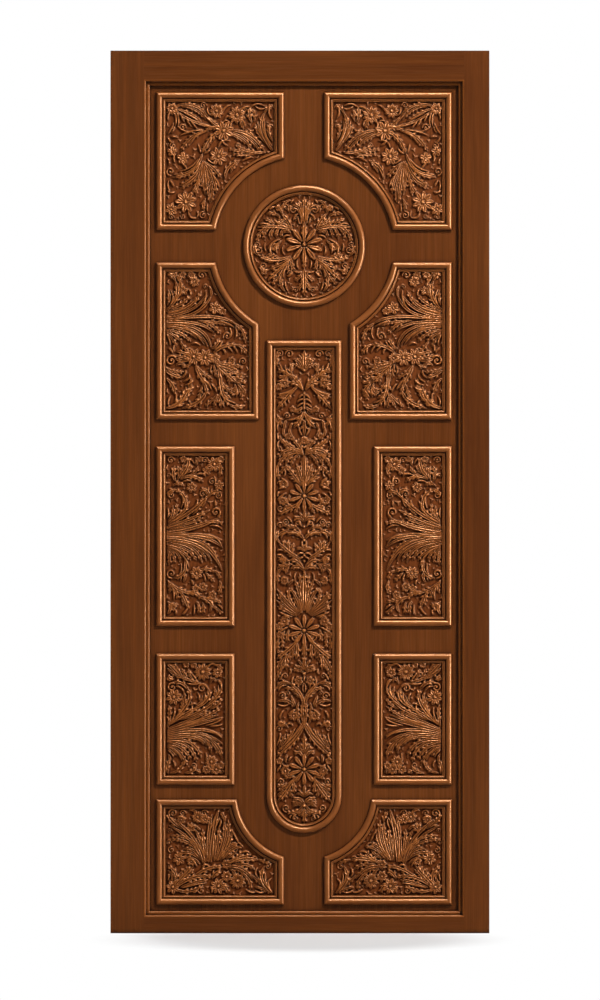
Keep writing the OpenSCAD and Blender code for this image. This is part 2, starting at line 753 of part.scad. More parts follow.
// Stretch at the level y from the panel that a design was drawn for to the real one
function stretch_y(drawn, real) = (real[1] - 2 * inset_plate) / (drawn[1] - 2 * inset_plate);
function fit_y(drawn, real, y) = inset_plate + (y - inset_plate) * stretch_y(drawn, real);
function stretch_x(drawn, real, y) =
  (room(real, fit_y(drawn, real, y)) - inset_plate) / (room(drawn, y) - inset_plate);
function fit_x(drawn, real, x, y) = inset_plate + (x - inset_plate) * stretch_x(drawn, real, y);
function fit_size(drawn, real, y) = min(stretch_x(drawn, real, y), stretch_y(drawn, real));
function fit_stroke(drawn, real, s) = [
  fit_x(drawn, real, s[0], s[1]), fit_y(drawn, real, s[1]),
  fit_x(drawn, real, s[2], s[3]), fit_y(drawn, real, s[3]),
  fit_x(drawn, real, s[4], s[5]), fit_y(drawn, real, s[5]),
  s[6] * fit_size(drawn, real, (s[1] + s[5]) / 2)];
function fit_round(drawn, real, f) = concat(
  [fit_x(drawn, real, f[0], f[1]), fit_y(drawn, real, f[1]), f[2] * fit_size(drawn, real, f[1])],
  [for (i = [3 : len(f) - 1]) f[i]]);

// All of one design
module motifs(strokes, flowers, curls) {
  for (s = strokes)
    stroke(s);
  for (f = flowers)
    flower(f);
  for (c = curls)
    curl(c);
}

// Ground plate, its outline comes as child
module ground_plate() {
  translate([0, 0, -pocket_depth])
    linear_extrude(pocket_depth - ground_drop)
      children();
}

// Side panel: a design fitted from the panel it was drawn for to the real one
module side_carving(strokes, flowers, curls, drawn, real) {
  ground_plate()
    children();
  translate([0, 0, -ground_drop])
    motifs([for (s = strokes) fit_stroke(drawn, real, s)], [for (f = flowers) fit_round(drawn, real, f)],
      [for (c = curls) fit_round(drawn, real, c)]);
}

// Panel on the leaf's axis: half a design and its mirror image, stretched from its drawn size
module axis_carving(strokes, flowers, curls, kx, ky) {
  ground_plate()
    children();
  translate([0, 0, -ground_drop])
    for (side = [0, 1])
      mirror([side, 0, 0])
        scale([kx, ky, 1])
          motifs([for (s = strokes) if (side == 0 || abs(s[0]) + abs(s[4]) > 2) s],
            [for (f = flowers) if (side == 0 || abs(f[0]) > 2) f], curls);
}

// Places a panel's drawing on the leaf, x is measured from the leaf's axis
module on_leaf(x, z) {
  translate([leaf_axis + x, face_y, z])
    rotate([90, 0, 0])
      children();
}

// Left-hand panel, or its mirror image on the right
module on_side(right, z) {
  translate([leaf_axis, face_y, z])
    rotate([90, 0, 0])
      mirror([right, 0, 0])
        translate([-side_far, 0, 0])
          children();
}

// Turns a panel with a hollow low corner into one with a hollow high corner
module flip(h) {
  translate([0, h, 0])
    mirror([0, 1, 0])
      children();
}

module top_carving() {
  side_carving(top_strokes, top_flowers, top_curls, top_drawn,
    [corner_w, top_height, side_far, top_cy, hollow_r, 0])
    hollow_outline(corner_w, top_height, side_far, top_cy, hollow_r, inset_plate);
}

module upper_carving() {
  side_carving(upper_strokes, upper_flowers, upper_curls, upper_drawn,
    [upper_w, upper_height, side_far, upper_cy, hollow_r, 1])
    flip(upper_height)
      hollow_outline(upper_w, upper_height, side_far, upper_cy, hollow_r, inset_plate);
}

module middle_carving() {
  side_carving(middle_strokes, middle_flowers, middle_curls, middle_drawn,
    [side_w, middle_height, 0, 0, 0, 0])
    plain_outline(side_w, middle_height, inset_plate);
}

module lower_carving() {
  side_carving(lower_strokes, lower_flowers, lower_curls, lower_drawn,
    [side_w, lower_height, 0, 0, 0, 0])
    plain_outline(side_w, lower_height, inset_plate);
}

module bottom_carving() {
  side_carving(bottom_strokes, bottom_flowers, bottom_curls, bottom_drawn,
    [corner_w, bottom_height, side_far, bottom_cy, foot_r, 1])
    flip(bottom_height)
      hollow_outline(corner_w, bottom_height, side_far, bottom_cy, foot_r, inset_plate);
}

module leaf_slab() {
  color(wood_field)
    difference() {
      translate([leaf_left, face_y, leaf_low])
        cube([leaf_right - leaf_left, back_y - face_y, leaf_high - leaf_low]);
      for (right = [0, 1]) {
        on_side(right, top_z)
          pocket()
            hollow_outline(corner_w, top_height, side_far, top_cy, hollow_r, moulding_seat);
        on_side(right, upper_z)
          pocket()
            flip(upper_height)
              hollow_outline(upper_w, upper_height, side_far, upper_cy, hollow_r, moulding_seat);
        on_side(right, middle_z)
          pocket()
            plain_outline(side_w, middle_height, moulding_seat);
        on_side(right, lower_z)
          pocket()
            plain_outline(side_w, lower_height, moulding_seat);
        on_side(right, bottom_z)
          pocket()
            flip(bottom_height)
              hollow_outline(corner_w, bottom_height, side_far, bottom_cy, foot_r, moulding_seat);
      }
      on_leaf(0, medallion_z)
        pocket()
          circle(r = medallion_radius - moulding_seat);
      on_leaf(0, centre_z)
        pocket()
          foot_outline(centre_half, centre_height, moulding_seat);
      for (z = hinge_z)
        translate([leaf_left - 1, back_y - hinge_plate, z])
          cube([hinge_thick + 1, hinge_plate + 1, hinge_height]);
    }
}

module pocket() {
  translate([0, 0, -pocket_depth])
    linear_extrude(2 * pocket_depth)
      children();
}

module jamb_plate_low() {
  jamb_plate(0);
}

module jamb_plate_mid() {
  jamb_plate(1);
}

module jamb_plate_top() {
  jamb_plate(2);
}

module hinge_pin_low() {
  hinge_pin(0);
}

module hinge_pin_mid() {
  hinge_pin(1);
}

module hinge_pin_top() {
  hinge_pin(2);
}

module leaf_plate_low() {
  leaf_plate(0);
}

module leaf_plate_mid() {
  leaf_plate(1);
}

module leaf_plate_top() {
  leaf_plate(2);
}

module carving_top(right) {
  color(wood_carved)
    on_side(right, top_z)
      top_carving();
}

module carving_upper(right) {
  color(wood_carved)
    on_side(right, upper_z)
      upper_carving();
}

module carving_middle(right) {
  color(wood_carved)
    on_side(right, middle_z)
      middle_carving();
}

module carving_lower(right) {
  color(wood_carved)
    on_side(right, lower_z)
      lower_carving();
}

module carving_bottom(right) {
  color(wood_carved)
    on_side(right, bottom_z)
      bottom_carving();
}

module carving_medallion() {
  color(wood_carved)
    on_leaf(0, medallion_z)
      axis_carving(medallion_strokes, medallion_flowers, medallion_curls,
        medallion_radius / medallion_drawn, medallion_radius / medallion_drawn)
        circle(r = medallion_radius - inset_plate);
}

module carving_centre() {
  color(wood_carved)
    on_leaf(0, centre_z)
      axis_carving(centre_strokes, centre_flowers, centre_curls,
        centre_half / centre_drawn[0], centre_height / centre_drawn[1])
        foot_outline(centre_half, centre_height, inset_plate);
}

module moulding_top(right) {
  color(wood_moulding)
    on_side(right, top_z)
      hollow_ring(corner_w, top_height, side_far, top_cy, hollow_r);
}

module moulding_upper(right) {
  color(wood_moulding)
    on_side(right, upper_z)
      flip(upper_height)
        hollow_ring(upper_w, upper_height, side_far, upper_cy, hollow_r);
}

module moulding_middle(right) {
  color(wood_moulding)
    on_side(right, middle_z)
      plain_ring(side_w, middle_height);
}

module moulding_lower(right) {
  color(wood_moulding)
    on_side(right, lower_z)
      plain_ring(side_w, lower_height);
}

module moulding_bottom(right) {
  color(wood_moulding)
    on_side(right, bottom_z)
      flip(bottom_height)
        hollow_ring(corner_w, bottom_height, side_far, bottom_cy, foot_r);
}

module moulding_medallion() {
  color(wood_moulding)
    on_leaf(0, medallion_z)
      round_ring(medallion_radius);
}

module moulding_centre() {
  color(wood_moulding)
    on_leaf(0, centre_z)
      foot_ring(centre_half, centre_height);
}

hinge_jamb();
closing_jamb();
frame_head();
frame_sill();
jamb_plate_low();
jamb_plate_mid();
jamb_plate_top();
hinge_pin_low();
hinge_pin_mid();
hinge_pin_top();
leaf_slab();
leaf_plate_low();
leaf_plate_mid();
leaf_plate_top();
carving_top(0);  // carving_top_left
carving_top(1);  // carving_top_right
carving_upper(0);  // carving_upper_left
carving_upper(1);  // carving_upper_right
carving_middle(0);  // carving_middle_left
carving_middle(1);  // carving_middle_right
carving_lower(0);  // carving_lower_left
carving_lower(1);  // carving_lower_right
carving_bottom(0);  // carving_bottom_left
carving_bottom(1);  // carving_bottom_right
carving_medallion();
carving_centre();
moulding_top(0);  // moulding_top_left
moulding_top(1);  // moulding_top_right
moulding_upper(0);  // moulding_upper_left
moulding_upper(1);  // moulding_upper_right
moulding_middle(0);  // moulding_middle_left
moulding_middle(1);  // moulding_middle_right
moulding_lower(0);  // moulding_lower_left
moulding_lower(1);  // moulding_lower_right
moulding_bottom(0);  // moulding_bottom_left
moulding_bottom(1);  // moulding_bottom_right
moulding_medallion();
moulding_centre();
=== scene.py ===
# %% [markdown]
# # A carved door in its frame
#
# The object is a wooden door leaf with twelve carved panels, hung in a frame on three brass hinges. The
# solids come from the CAD model, which also says what moves: the leaf swings, the frame stays. This
# lesson dresses those solids: it lights them, gives each one a finish, and cuts the fine carving, which
# is far too fine for the CAD model. Blender counts in metres, so a length in millimetres is multiplied by
# MM. The drawing of the carving stays in millimetres until its mesh is made.

# %% Load the CAD model
import math

import bmesh
import bpy
import numpy as np
from mathutils import Matrix, Vector


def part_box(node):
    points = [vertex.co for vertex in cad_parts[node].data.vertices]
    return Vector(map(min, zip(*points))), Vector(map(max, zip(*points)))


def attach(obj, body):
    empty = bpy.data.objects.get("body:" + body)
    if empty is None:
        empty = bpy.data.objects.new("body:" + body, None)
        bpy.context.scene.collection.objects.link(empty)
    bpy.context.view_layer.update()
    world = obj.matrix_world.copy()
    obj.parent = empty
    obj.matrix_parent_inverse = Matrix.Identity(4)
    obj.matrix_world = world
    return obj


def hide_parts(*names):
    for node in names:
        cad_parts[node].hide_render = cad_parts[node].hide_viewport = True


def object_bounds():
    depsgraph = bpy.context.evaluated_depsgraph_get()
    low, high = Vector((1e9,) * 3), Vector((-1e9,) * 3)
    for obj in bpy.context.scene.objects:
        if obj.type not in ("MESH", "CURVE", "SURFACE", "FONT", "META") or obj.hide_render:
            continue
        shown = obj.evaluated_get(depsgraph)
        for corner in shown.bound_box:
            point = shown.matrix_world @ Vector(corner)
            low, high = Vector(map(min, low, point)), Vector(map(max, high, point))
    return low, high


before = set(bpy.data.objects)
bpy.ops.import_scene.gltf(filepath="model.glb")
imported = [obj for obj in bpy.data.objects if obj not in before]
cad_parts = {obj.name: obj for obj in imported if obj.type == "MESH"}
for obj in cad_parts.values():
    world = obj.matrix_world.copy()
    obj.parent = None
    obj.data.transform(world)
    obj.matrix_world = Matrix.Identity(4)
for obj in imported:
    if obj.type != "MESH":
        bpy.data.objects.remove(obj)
cad_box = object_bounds()
MM = 0.001


def box_mm(node):
    """Low and high corner of a CAD solid in whole millimetres, without the small errors of its facets."""
    return [[round(c / MM) for c in corner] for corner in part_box(node)]


leaf_low, leaf_high = box_mm("leaf_slab")
print("CAD box:", [tuple(round(c, 4) for c in corner) for corner in cad_box])

# %% [markdown]
# ## The camera
#
# The door is seen square from the front, with no converging lines, so the picture was taken from far away
# or straightened. An orthographic camera would give that too, but a long lens far off also works when the
# camera is moved round the door. The picture is 600 by 1000, and 2.4 mm of door falls on one pixel.

# %% Camera
LENS = 200
SENSOR = 36
VIEW_HEIGHT = 2.4177
VIEW_MIDDLE_X, VIEW_MIDDLE_Z = 0.0002, 1.0475
camera_data = bpy.data.cameras.new("front_camera")
camera_data.lens = LENS
camera_data.sensor_width = SENSOR
camera_data.clip_end = 60
camera = bpy.data.objects.new("front_camera", camera_data)
bpy.context.scene.collection.objects.link(camera)
distance = VIEW_HEIGHT * LENS / SENSOR
camera.location = (VIEW_MIDDLE_X, cad_box[0][1] - distance, VIEW_MIDDLE_Z)
camera.rotation_euler = (math.radians(90), 0, 0)
bpy.context.scene.camera = camera
bpy.context.scene.view_settings.view_transform = "Standard"
print("camera stands", round(distance, 2), "m in front of the door")

# %% [markdown]
# ## Small helpers for materials
#
# Colours are easiest to compare with a picture as sRGB hex values, but the shaders work with linear
# light, so one function converts them. Another adds a node, sets it up and wires it in a single call. The
# rest are the few steps that the finishes share: a colour ramp, one colour multiplied by another, a
# value moved into a range, and noise that is stretched along the grain.

# %% Colours and nodes
def hex_colour(code):
    """An sRGB hex colour as linear RGBA."""
    parts = [int(code[i:i + 2], 16) / 255 for i in (1, 3, 5)]
    return [c / 12.92 if c <= 0.04045 else ((c + 0.055) / 1.055) ** 2.4 for c in parts] + [1]


def add_node(tree, kind, settings=None, values=None, links=None):
    """Adds a node: settings are its own properties, values and links go to its inputs."""
    node = tree.nodes.new(kind)
    for key, value in (settings or {}).items():
        setattr(node, key, value)
    for key, value in (values or {}).items():
        node.inputs[key].default_value = value
    for key, source in (links or {}).items():
        tree.links.new(source, node.inputs[key])
    return node


def new_finish(name):
    """An empty material: returns it, its node tree, its shader and the place on the object."""
    finish = bpy.data.materials.new(name)
    finish.use_nodes = True
    tree = finish.node_tree
    place = add_node(tree, "ShaderNodeTexCoord").outputs["Object"]
    return finish, tree, tree.nodes["Principled BSDF"], place


print("white is", hex_colour("#ffffff"), "and mid brown is", [round(c, 3) for c in hex_colour("#66381a")])


# %% Steps that the finishes share
def colour_ramp(tree, value, stops):
    """A colour that follows a value through (place, hex colour) stops."""
    node = add_node(tree, "ShaderNodeValToRGB", links={"Fac": value})
    elements = node.color_ramp.elements
    while len(elements) > 1:
        elements.remove(elements[-1])
    elements[0].position = stops[0][0]
    elements[0].color = hex_colour(stops[0][1])
    for place, code in stops[1:]:
        elements.new(place).color = hex_colour(code)
    return node.outputs[0]


def multiply(tree, colour, by, share=1.0):
    """A colour multiplied by another one, in full or by a share."""
    mixed = add_node(tree, "ShaderNodeMix", {"data_type": "RGBA", "blend_type": "MULTIPLY"}, {0: share},
                     {6: colour, 7: by})
    return mixed.outputs[2]


def in_range(tree, value, low, high):
    """A value from 0 to 1 moved into the range from low to high."""
    node = add_node(tree, "ShaderNodeMapRange", values={"To Min": low, "To Max": high},
                    links={"Value": value})
    return node.outputs[0]


def stretched_noise(tree, place, sizes, **values):
    """Noise whose patches have the given sizes along X, Y and Z, in millimetres."""
    scale = [1 / (size * MM) for size in sizes]
    stretch = add_node(tree, "ShaderNodeMapping", values={"Scale": scale}, links={"Vector": place})
    noise = add_node(tree, "ShaderNodeTexNoise", values={"Scale": 1, **values},
                     links={"Vector": stretch.outputs[0]})
    return noise.outputs["Fac"]


def paint_corner_shade(tree, colour, reach):
    """A colour darkened in corners and grooves out to a reach in millimetres: painted shade from ambient
    occlusion.
    """
    corner = add_node(tree, "ShaderNodeAmbientOcclusion", {"samples": 6}, {"Distance": reach * MM})
    dark = colour_ramp(tree, corner.outputs["AO"], [(0.30, "#160d08"), (0.55, "#7c6e66"), (0.82, "#ffffff")])
    return multiply(tree, colour, dark)


def dress(nodes, finish):
    """Gives CAD solids a finish."""
    for node in nodes:
        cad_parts[node].data.materials.clear()
        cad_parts[node].data.materials.append(finish)


print("helpers ready for", len(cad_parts), "solids")

# %% [markdown]
# ## Floor and backdrop
#
# The door stands before plain white, with a soft grey shadow under its foot. The floor is a sheet of
# paper that takes the shadow close to the door and fades to pure white further out, so no horizon shows.
# The world is white where it is looked at or mirrored, and a dim grey where it lights things, so that it
# doesn't flatten the relief.

# %% Floor
sheet = bmesh.new()
bmesh.ops.create_grid(sheet, x_segments=1, y_segments=1, size=9)
floor_mesh = bpy.data.meshes.new("studio_floor")
sheet.to_mesh(floor_mesh)
sheet.free()
studio_floor = bpy.data.objects.new("studio_floor", floor_mesh)
bpy.context.scene.collection.objects.link(studio_floor)


def looked_at(tree, *rays):
    """1 for a ray of one of these kinds, and 0 for the others."""
    path = add_node(tree, "ShaderNodeLightPath")
    share = path.outputs[rays[0]]
    for ray in rays[1:]:
        either = add_node(tree, "ShaderNodeMath", {"operation": "MAXIMUM"},
                          links={0: share, 1: path.outputs[ray]})
        share = either.outputs[0]
    return share


paper, tree, shader, place = new_finish("white_paper_floor")
shader.inputs["Base Color"].default_value = hex_colour("#c6cad0")
shader.inputs["Roughness"].default_value = 0.9
shader.inputs["Specular IOR Level"].default_value = 0.0
# The shadow is kept in an oval of about 1.05 by 0.87 m at the foot
oval = add_node(tree, "ShaderNodeMapping", values={"Location": (0, 0.5, 0), "Scale": (1.9, 2.3, 1)},
                links={"Vector": place})
away = add_node(tree, "ShaderNodeVectorMath", {"operation": "LENGTH"}, links={0: oval.outputs[0]})
fade = add_node(tree, "ShaderNodeMapRange", {"interpolation_type": "SMOOTHSTEP"},
                {"From Min": 0.55, "From Max": 1.0, "To Min": 0.30, "To Max": 1},
                {"Value": away.outputs["Value"]})
share = add_node(tree, "ShaderNodeMath", {"operation": "MULTIPLY"},
                 links={0: looked_at(tree, "Is Camera Ray", "Is Glossy Ray"), 1: fade.outputs["Result"]})
glow = add_node(tree, "ShaderNodeEmission", values={"Color": (1, 1, 1, 1), "Strength": 1})
blend = add_node(tree, "ShaderNodeMixShader",
                 links={0: share.outputs[0], 1: shader.outputs[0], 2: glow.outputs[0]})
tree.links.new(blend.outputs[0], tree.nodes["Material Output"].inputs["Surface"])
floor_mesh.materials.append(paper)
print("floor", tuple(studio_floor.dimensions))

# %% Backdrop
world = bpy.data.worlds.new("white_studio")
bpy.context.scene.world = world
world.use_nodes = True
tree = world.node_tree
tree.nodes.clear()
seen = looked_at(tree, "Is Camera Ray", "Is Transmission Ray", "Is Glossy Ray")
dim = add_node(tree, "ShaderNodeBackground", values={"Color": hex_colour("#f4f1ee"), "Strength": 0.04})
white = add_node(tree, "ShaderNodeBackground", values={"Color": (1, 1, 1, 1), "Strength": 1})
blend = add_node(tree, "ShaderNodeMixShader", links={0: seen, 1: dim.outputs[0], 2: white.outputs[0]})
add_node(tree, "ShaderNodeOutputWorld", links={"Surface": blend.outputs[0]})
print("backdrop:", len(tree.nodes), "nodes")

# %% [markdown]
# ## Lamps
#
# A key lamp far off at the upper right models the relief: it lights the upper and right-hand side of
# every round and leaves the other side dark. Two long strips only draw the lines of light along the
# mouldings, so they are hidden from diffuse light. A lamp above and behind the door throws its shadow on
# the floor in front of its foot, and one more lights its back.

# %% Lamps
def area_lamp(name, place, aim, size, watts, tone):
    """A rectangular area lamp at place that faces the point aim."""
    lamp = bpy.data.lights.new(name, "AREA")
    lamp.shape = "RECTANGLE"
    lamp.size, lamp.size_y = size
    lamp.energy = watts
    lamp.color = hex_colour(tone)[:3]
    holder = bpy.data.objects.new(name, lamp)
    holder.location = place
    holder.rotation_euler = (Vector(aim) - Vector(place)).to_track_quat("-Z", "Y").to_euler()
    bpy.context.scene.collection.objects.link(holder)
    return holder


area_lamp("key_softbox", (4.5, -5.0, 7.0), (0.0, 0.0, 1.2), (0.5, 0.5), 1170, "#fff8f0")
right_strip = area_lamp("right_strip", (3.9, -2.2, 1.25), (0.0, 0.0, 1.1), (0.20, 2.8), 1400, "#ffeedd")
upper_strip = area_lamp("upper_strip", (0.6, -2.2, 4.9), (0.0, 0.0, 1.1), (2.4, 0.20), 1400, "#ffeedd")
for strip in (right_strip, upper_strip):
    strip.visible_diffuse = False
area_lamp("foot_lamp", (0.0, 0.85, 4.4), (0.0, -0.1, 0.0), (1.6, 0.5), 60, "#ffffff")
area_lamp("back_softbox", (-2.4, 3.0, 2.6), (0.0, 0.0, 1.0), (1.6, 1.6), 120, "#ffffff")

# %% [markdown]
# ## Stained hardwood under satin lacquer
#
# Frame and leaf are close-grained hardwood, stained to a warm mid brown and sprayed with a satin lacquer.
# To the eye that gives soft streaks along each board, fine dark pores, and a broad, quiet sheen rather
# than a mirror. A picture of wood would repeat and stretch, so the grain is drawn with noise that is
# pulled out along the board: upright in the jambs and the leaf, level in the head and the sill. The
# rounded steps round the opening get a brighter second colour where they are, a painted highlight, and
# corners and grooves get painted shade.

# %% Lacquered wood
# Width and length of the streaks, the pores and the tone of whole boards, in millimetres
STREAKS, PORES, BOARDS = (11, 420), (2.2, 130), (160, 900)


def lacquered_wood(name, along, shades, edge=(0, 0)):
    """Stained, lacquered hardwood with its grain along an axis: 0 is across the door and 2 is up.

    edge is the middle and half width, in millimetres, of the opening whose stepped edge gets a painted
    highlight."""
    finish, tree, shader, place = new_finish(name)
    noises = []
    for width, length in (STREAKS, PORES, BOARDS):
        sizes = [width] * 3
        sizes[along] = length
        noises.append(stretched_noise(tree, place, sizes, Detail=5, Roughness=0.6, Distortion=0.35))
    streaks, pores, boards = noises
    stain = colour_ramp(tree, streaks, list(zip((0.30, 0.50, 0.72), shades)))
    # Pores hold a little more stain than the wood between them
    grain = multiply(tree, stain, colour_ramp(tree, pores, [(0.30, "#b4aaa4"), (0.48, "#ffffff")]), 0.22)
    colour = multiply(tree, grain, colour_ramp(tree, boards, [(0.32, "#d9d0ca"), (0.62, "#ffffff")]))
    # The steps lie nearer to the middle of the opening than its edge
    axes = add_node(tree, "ShaderNodeSeparateXYZ", links={0: place})
    off = add_node(tree, "ShaderNodeMath", {"operation": "SUBTRACT"}, {1: edge[0] * MM},
                   {0: axes.outputs[2 - along]})
    off = add_node(tree, "ShaderNodeMath", {"operation": "ABSOLUTE"}, links={0: off.outputs[0]})
    step = add_node(tree, "ShaderNodeMath", {"operation": "LESS_THAN"}, {1: edge[1] * MM},
                    {0: off.outputs[0]})
    # The rounded steps round the opening get a brighter colour: a painted highlight
    painted_step_light = add_node(tree, "ShaderNodeMix", {"data_type": "RGBA"}, {7: hex_colour("#6f3c16")},
                    {0: step.outputs[0], 6: colour})
    # Corners and grooves of the wood get painted shade
    tree.links.new(paint_corner_shade(tree, painted_step_light.outputs[2], 16), shader.inputs["Base Color"])
    tree.links.new(in_range(tree, pores, 0.22, 0.32), shader.inputs["Roughness"])
    relief = add_node(tree, "ShaderNodeBump", values={"Strength": 0.25, "Distance": 0.15 * MM},
                      links={"Height": pores})
    tree.links.new(relief.outputs[0], shader.inputs["Normal"])
    shader.inputs["Specular IOR Level"].default_value = 0.11
    shader.inputs["Specular Tint"].default_value = hex_colour("#ffd0a4")
    return finish


print("streaks, pores and boards:", STREAKS, PORES, BOARDS)

# %% Wood of the frame and the leaf
# Gap between the leaf's edges and the frame, in millimetres
EDGE_GAP = 3
FRAME_SHADES = ("#552d12", "#5e3214", "#693a17")
FIELD_SHADES = ("#592f13", "#623516", "#6c3c19")


def opening(axis):
    """Middle and half width of the frame's opening along an axis, in millimetres."""
    low, high = leaf_low[axis], leaf_high[axis]
    return (low + high) / 2, (high - low) / 2 + EDGE_GAP


jamb_wood = lacquered_wood("stained_hardwood_jambs", 2, FRAME_SHADES, opening(0))
rail_wood = lacquered_wood("stained_hardwood_head_and_sill", 0, FRAME_SHADES, opening(2))
field_wood = lacquered_wood("stained_hardwood_leaf", 2, FIELD_SHADES)
dress(("hinge_jamb", "closing_jamb"), jamb_wood)
dress(("frame_head", "frame_sill"), rail_wood)
dress(("leaf_slab",), field_wood)
print("lacquered:", [m.name for m in bpy.data.materials if m.name.startswith("stained")])

# %% [markdown]
# ## Polished mouldings
#
# The rounded mouldings are the same hardwood with a lighter, more coppery colour, and the lacquer is
# smoother, so each round carries one clear line of light. Their grain runs along the
# bar, and the bars run both ways, so a faint mottle without a direction stands for it.

# %% Moulding finish
coppery_wood, tree, shader, place = new_finish("coppery_hardwood_mouldings")
mottle = stretched_noise(tree, place, [60] * 3, Detail=3, Roughness=0.5)
copper = colour_ramp(tree, mottle, [(0.30, "#73401b"), (0.52, "#7b451e"), (0.74, "#834b22")])
# Corners and grooves of the mouldings get painted shade
tree.links.new(paint_corner_shade(tree, copper, 12), shader.inputs["Base Color"])
tree.links.new(in_range(tree, mottle, 0.25, 0.28), shader.inputs["Roughness"])
shader.inputs["Specular IOR Level"].default_value = 0.25
shader.inputs["Specular Tint"].default_value = hex_colour("#ffcc9c")
mouldings = [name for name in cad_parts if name.startswith("moulding_")]
dress(mouldings, coppery_wood)
print("mouldings:", len(mouldings))

# %% [markdown]
# ## Brass hinges
#
# Three butt hinges carry the leaf. Their plates are rolled brass that has dulled in use: a warm yellow
# with cloudy darker patches, brushed lightly along its length. Coarse noise gives the clouds, and fine
# noise that is pulled out upwards gives the brushing.

# %% Brass
rolled_brass, tree, shader, place = new_finish("rolled_brass_hinges")
cloud = stretched_noise(tree, place, [14] * 3, Detail=5, Roughness=0.6)
tarnish = colour_ramp(tree, cloud, [(0.32, "#8d6c34"), (0.55, "#b6934f"), (0.75, "#c9a863")])
tree.links.new(tarnish, shader.inputs["Base Color"])
brush = stretched_noise(tree, place, (0.5, 0.5, 30), Detail=3)
tree.links.new(in_range(tree, brush, 0.28, 0.46), shader.inputs["Roughness"])
shader.inputs["Metallic"].default_value = 1
hinge_parts = [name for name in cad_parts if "plate" in name or "pin" in name]
dress(hinge_parts, rolled_brass)
print("brass pieces:", len(hinge_parts))

# %% [markdown]
# ## Hinge screws
#
# Each plate is held by three countersunk brass screws with a slot, set flush. A screw head starts as a
# flat cone; two cuts across it leave a strip in the middle, and that strip is pushed down to make the
# slot.

# %% One screw head
def screw_head(radius=4 * MM, bevel=0.4 * MM, proud=0.3 * MM, slot=1 * MM, slot_depth=0.25 * MM):
    """One slotted head round the origin that faces +Z."""
    head = bmesh.new()
    bmesh.ops.create_cone(head, cap_ends=True, segments=24, radius1=radius, radius2=radius - bevel,
                          depth=proud * 2)
    for side in (-slot / 2, slot / 2):
        bmesh.ops.bisect_plane(head, geom=head.verts[:] + head.edges[:] + head.faces[:],
                               plane_co=(0, side, 0), plane_no=(0, 1, 0))
    strip = [f for f in head.faces if f.normal.z > 0.9 and abs(f.calc_center_median().y) < slot * 0.4]
    sunk = bmesh.ops.extrude_face_region(head, geom=strip)
    bmesh.ops.delete(head, geom=strip, context="FACES_ONLY")
    bmesh.ops.translate(head, verts=[v for v in sunk["geom"] if isinstance(v, bmesh.types.BMVert)],
                        vec=(0, 0, -slot_depth))
    bmesh.ops.recalc_face_normals(head, faces=head.faces)
    mesh = bpy.data.meshes.new("screw_head")
    head.to_mesh(mesh)
    head.free()
    return mesh


HEAD = screw_head()
print("one screw head:", len(HEAD.polygons), "faces")

# %% Screws of the plates
PLATE_WIDTH = 34 * MM
# Share of the plate's width and height, and the turn of the slot in degrees
SCREW_PLACES = ((0.30, 0.16, 20), (0.68, 0.50, 75), (0.30, 0.84, 130))


def set_of_screws(name, plates, body, face, facing):
    """Three heads on the plates' visible face at x = face, facing is the way along X that they look."""
    group = bmesh.new()
    for plate in plates:
        low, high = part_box(plate)
        for across, up, turn in SCREW_PLACES:
            start = len(group.verts)
            group.from_mesh(HEAD)
            group.verts.ensure_lookup_table()
            spot = Vector((face, low[1] + PLATE_WIDTH * across, low[2] + (high[2] - low[2]) * up))
            outward = Matrix.Rotation(math.radians(90 * facing), 4, "Y")
            slot_turn = Matrix.Rotation(math.radians(turn), 4, "Z")
            bmesh.ops.transform(group, verts=group.verts[start:],
                                matrix=Matrix.Translation(spot) @ outward @ slot_turn)
    mesh = bpy.data.meshes.new(name)
    group.to_mesh(mesh)
    group.free()
    mesh.materials.append(rolled_brass)
    screws = bpy.data.objects.new(name, mesh)
    bpy.context.scene.collection.objects.link(screws)
    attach(screws, body)
    return screws


HEIGHTS = ("low", "mid", "top")
leaf_edge = leaf_low[0] * MM
jamb_edge = (leaf_low[0] - EDGE_GAP) * MM
jamb_screws = set_of_screws("screws_jamb_plates", ["jamb_plate_" + h for h in HEIGHTS], "frame", jamb_edge, 1)
leaf_screws = set_of_screws("screws_leaf_plates", ["leaf_plate_" + h for h in HEIGHTS], "leaf", leaf_edge, -1)
print("screw heads:", len(jamb_screws.data.polygons) + len(leaf_screws.data.polygons), "faces")

# %% [markdown]
# ## Carving with painted shade and highlight
#
# The carved panels are stained. Their colour is painted to follow the relief: dark brown in the gaps,
# which is painted shade, and coppery on the crests, which is a painted highlight.
# The carving below stores two numbers on every vertex, its height and how deep it sits among its
# neighbours, and this finish reads them.

# %% Carved finish
carving_with_painted_shade, tree, shader, place = new_finish("hardwood_carving_painted_shade")
height = add_node(tree, "ShaderNodeAttribute", {"attribute_name": "height"}).outputs["Fac"]
depth = add_node(tree, "ShaderNodeAttribute", {"attribute_name": "depth"}).outputs["Fac"]
# Crests are painted lighter by their height: a painted highlight
painted_crest_light = colour_ramp(tree, height, [(0.0, "#653315"), (0.36, "#703b18"), (0.72, "#8a4f23"),
                                    (0.95, "#b1733d")])
# Points that sit deep among their neighbours are painted dark: painted shade
painted_gap_shade = colour_ramp(tree, depth, [(0.0, "#ffffff"), (0.5, "#b4a296"), (1.0, "#34251c")])
streaks = stretched_noise(tree, place, (5, 5, 60), Detail=4)
uneven = colour_ramp(tree, streaks, [(0.30, "#c9c0ba"), (0.60, "#ffffff")])
colour = multiply(tree, multiply(tree, painted_crest_light, painted_gap_shade), uneven, 0.8)
# Corners and grooves of the carving get painted shade
tree.links.new(paint_corner_shade(tree, colour, 8), shader.inputs["Base Color"])
tree.links.new(in_range(tree, height, 0.42, 0.21), shader.inputs["Roughness"])
tree.links.new(in_range(tree, height, 0.10, 0.33), shader.inputs["Specular IOR Level"])
shader.inputs["Specular Tint"].default_value = hex_colour("#ffc08c")
print("carved finish:", len(tree.nodes), "nodes")

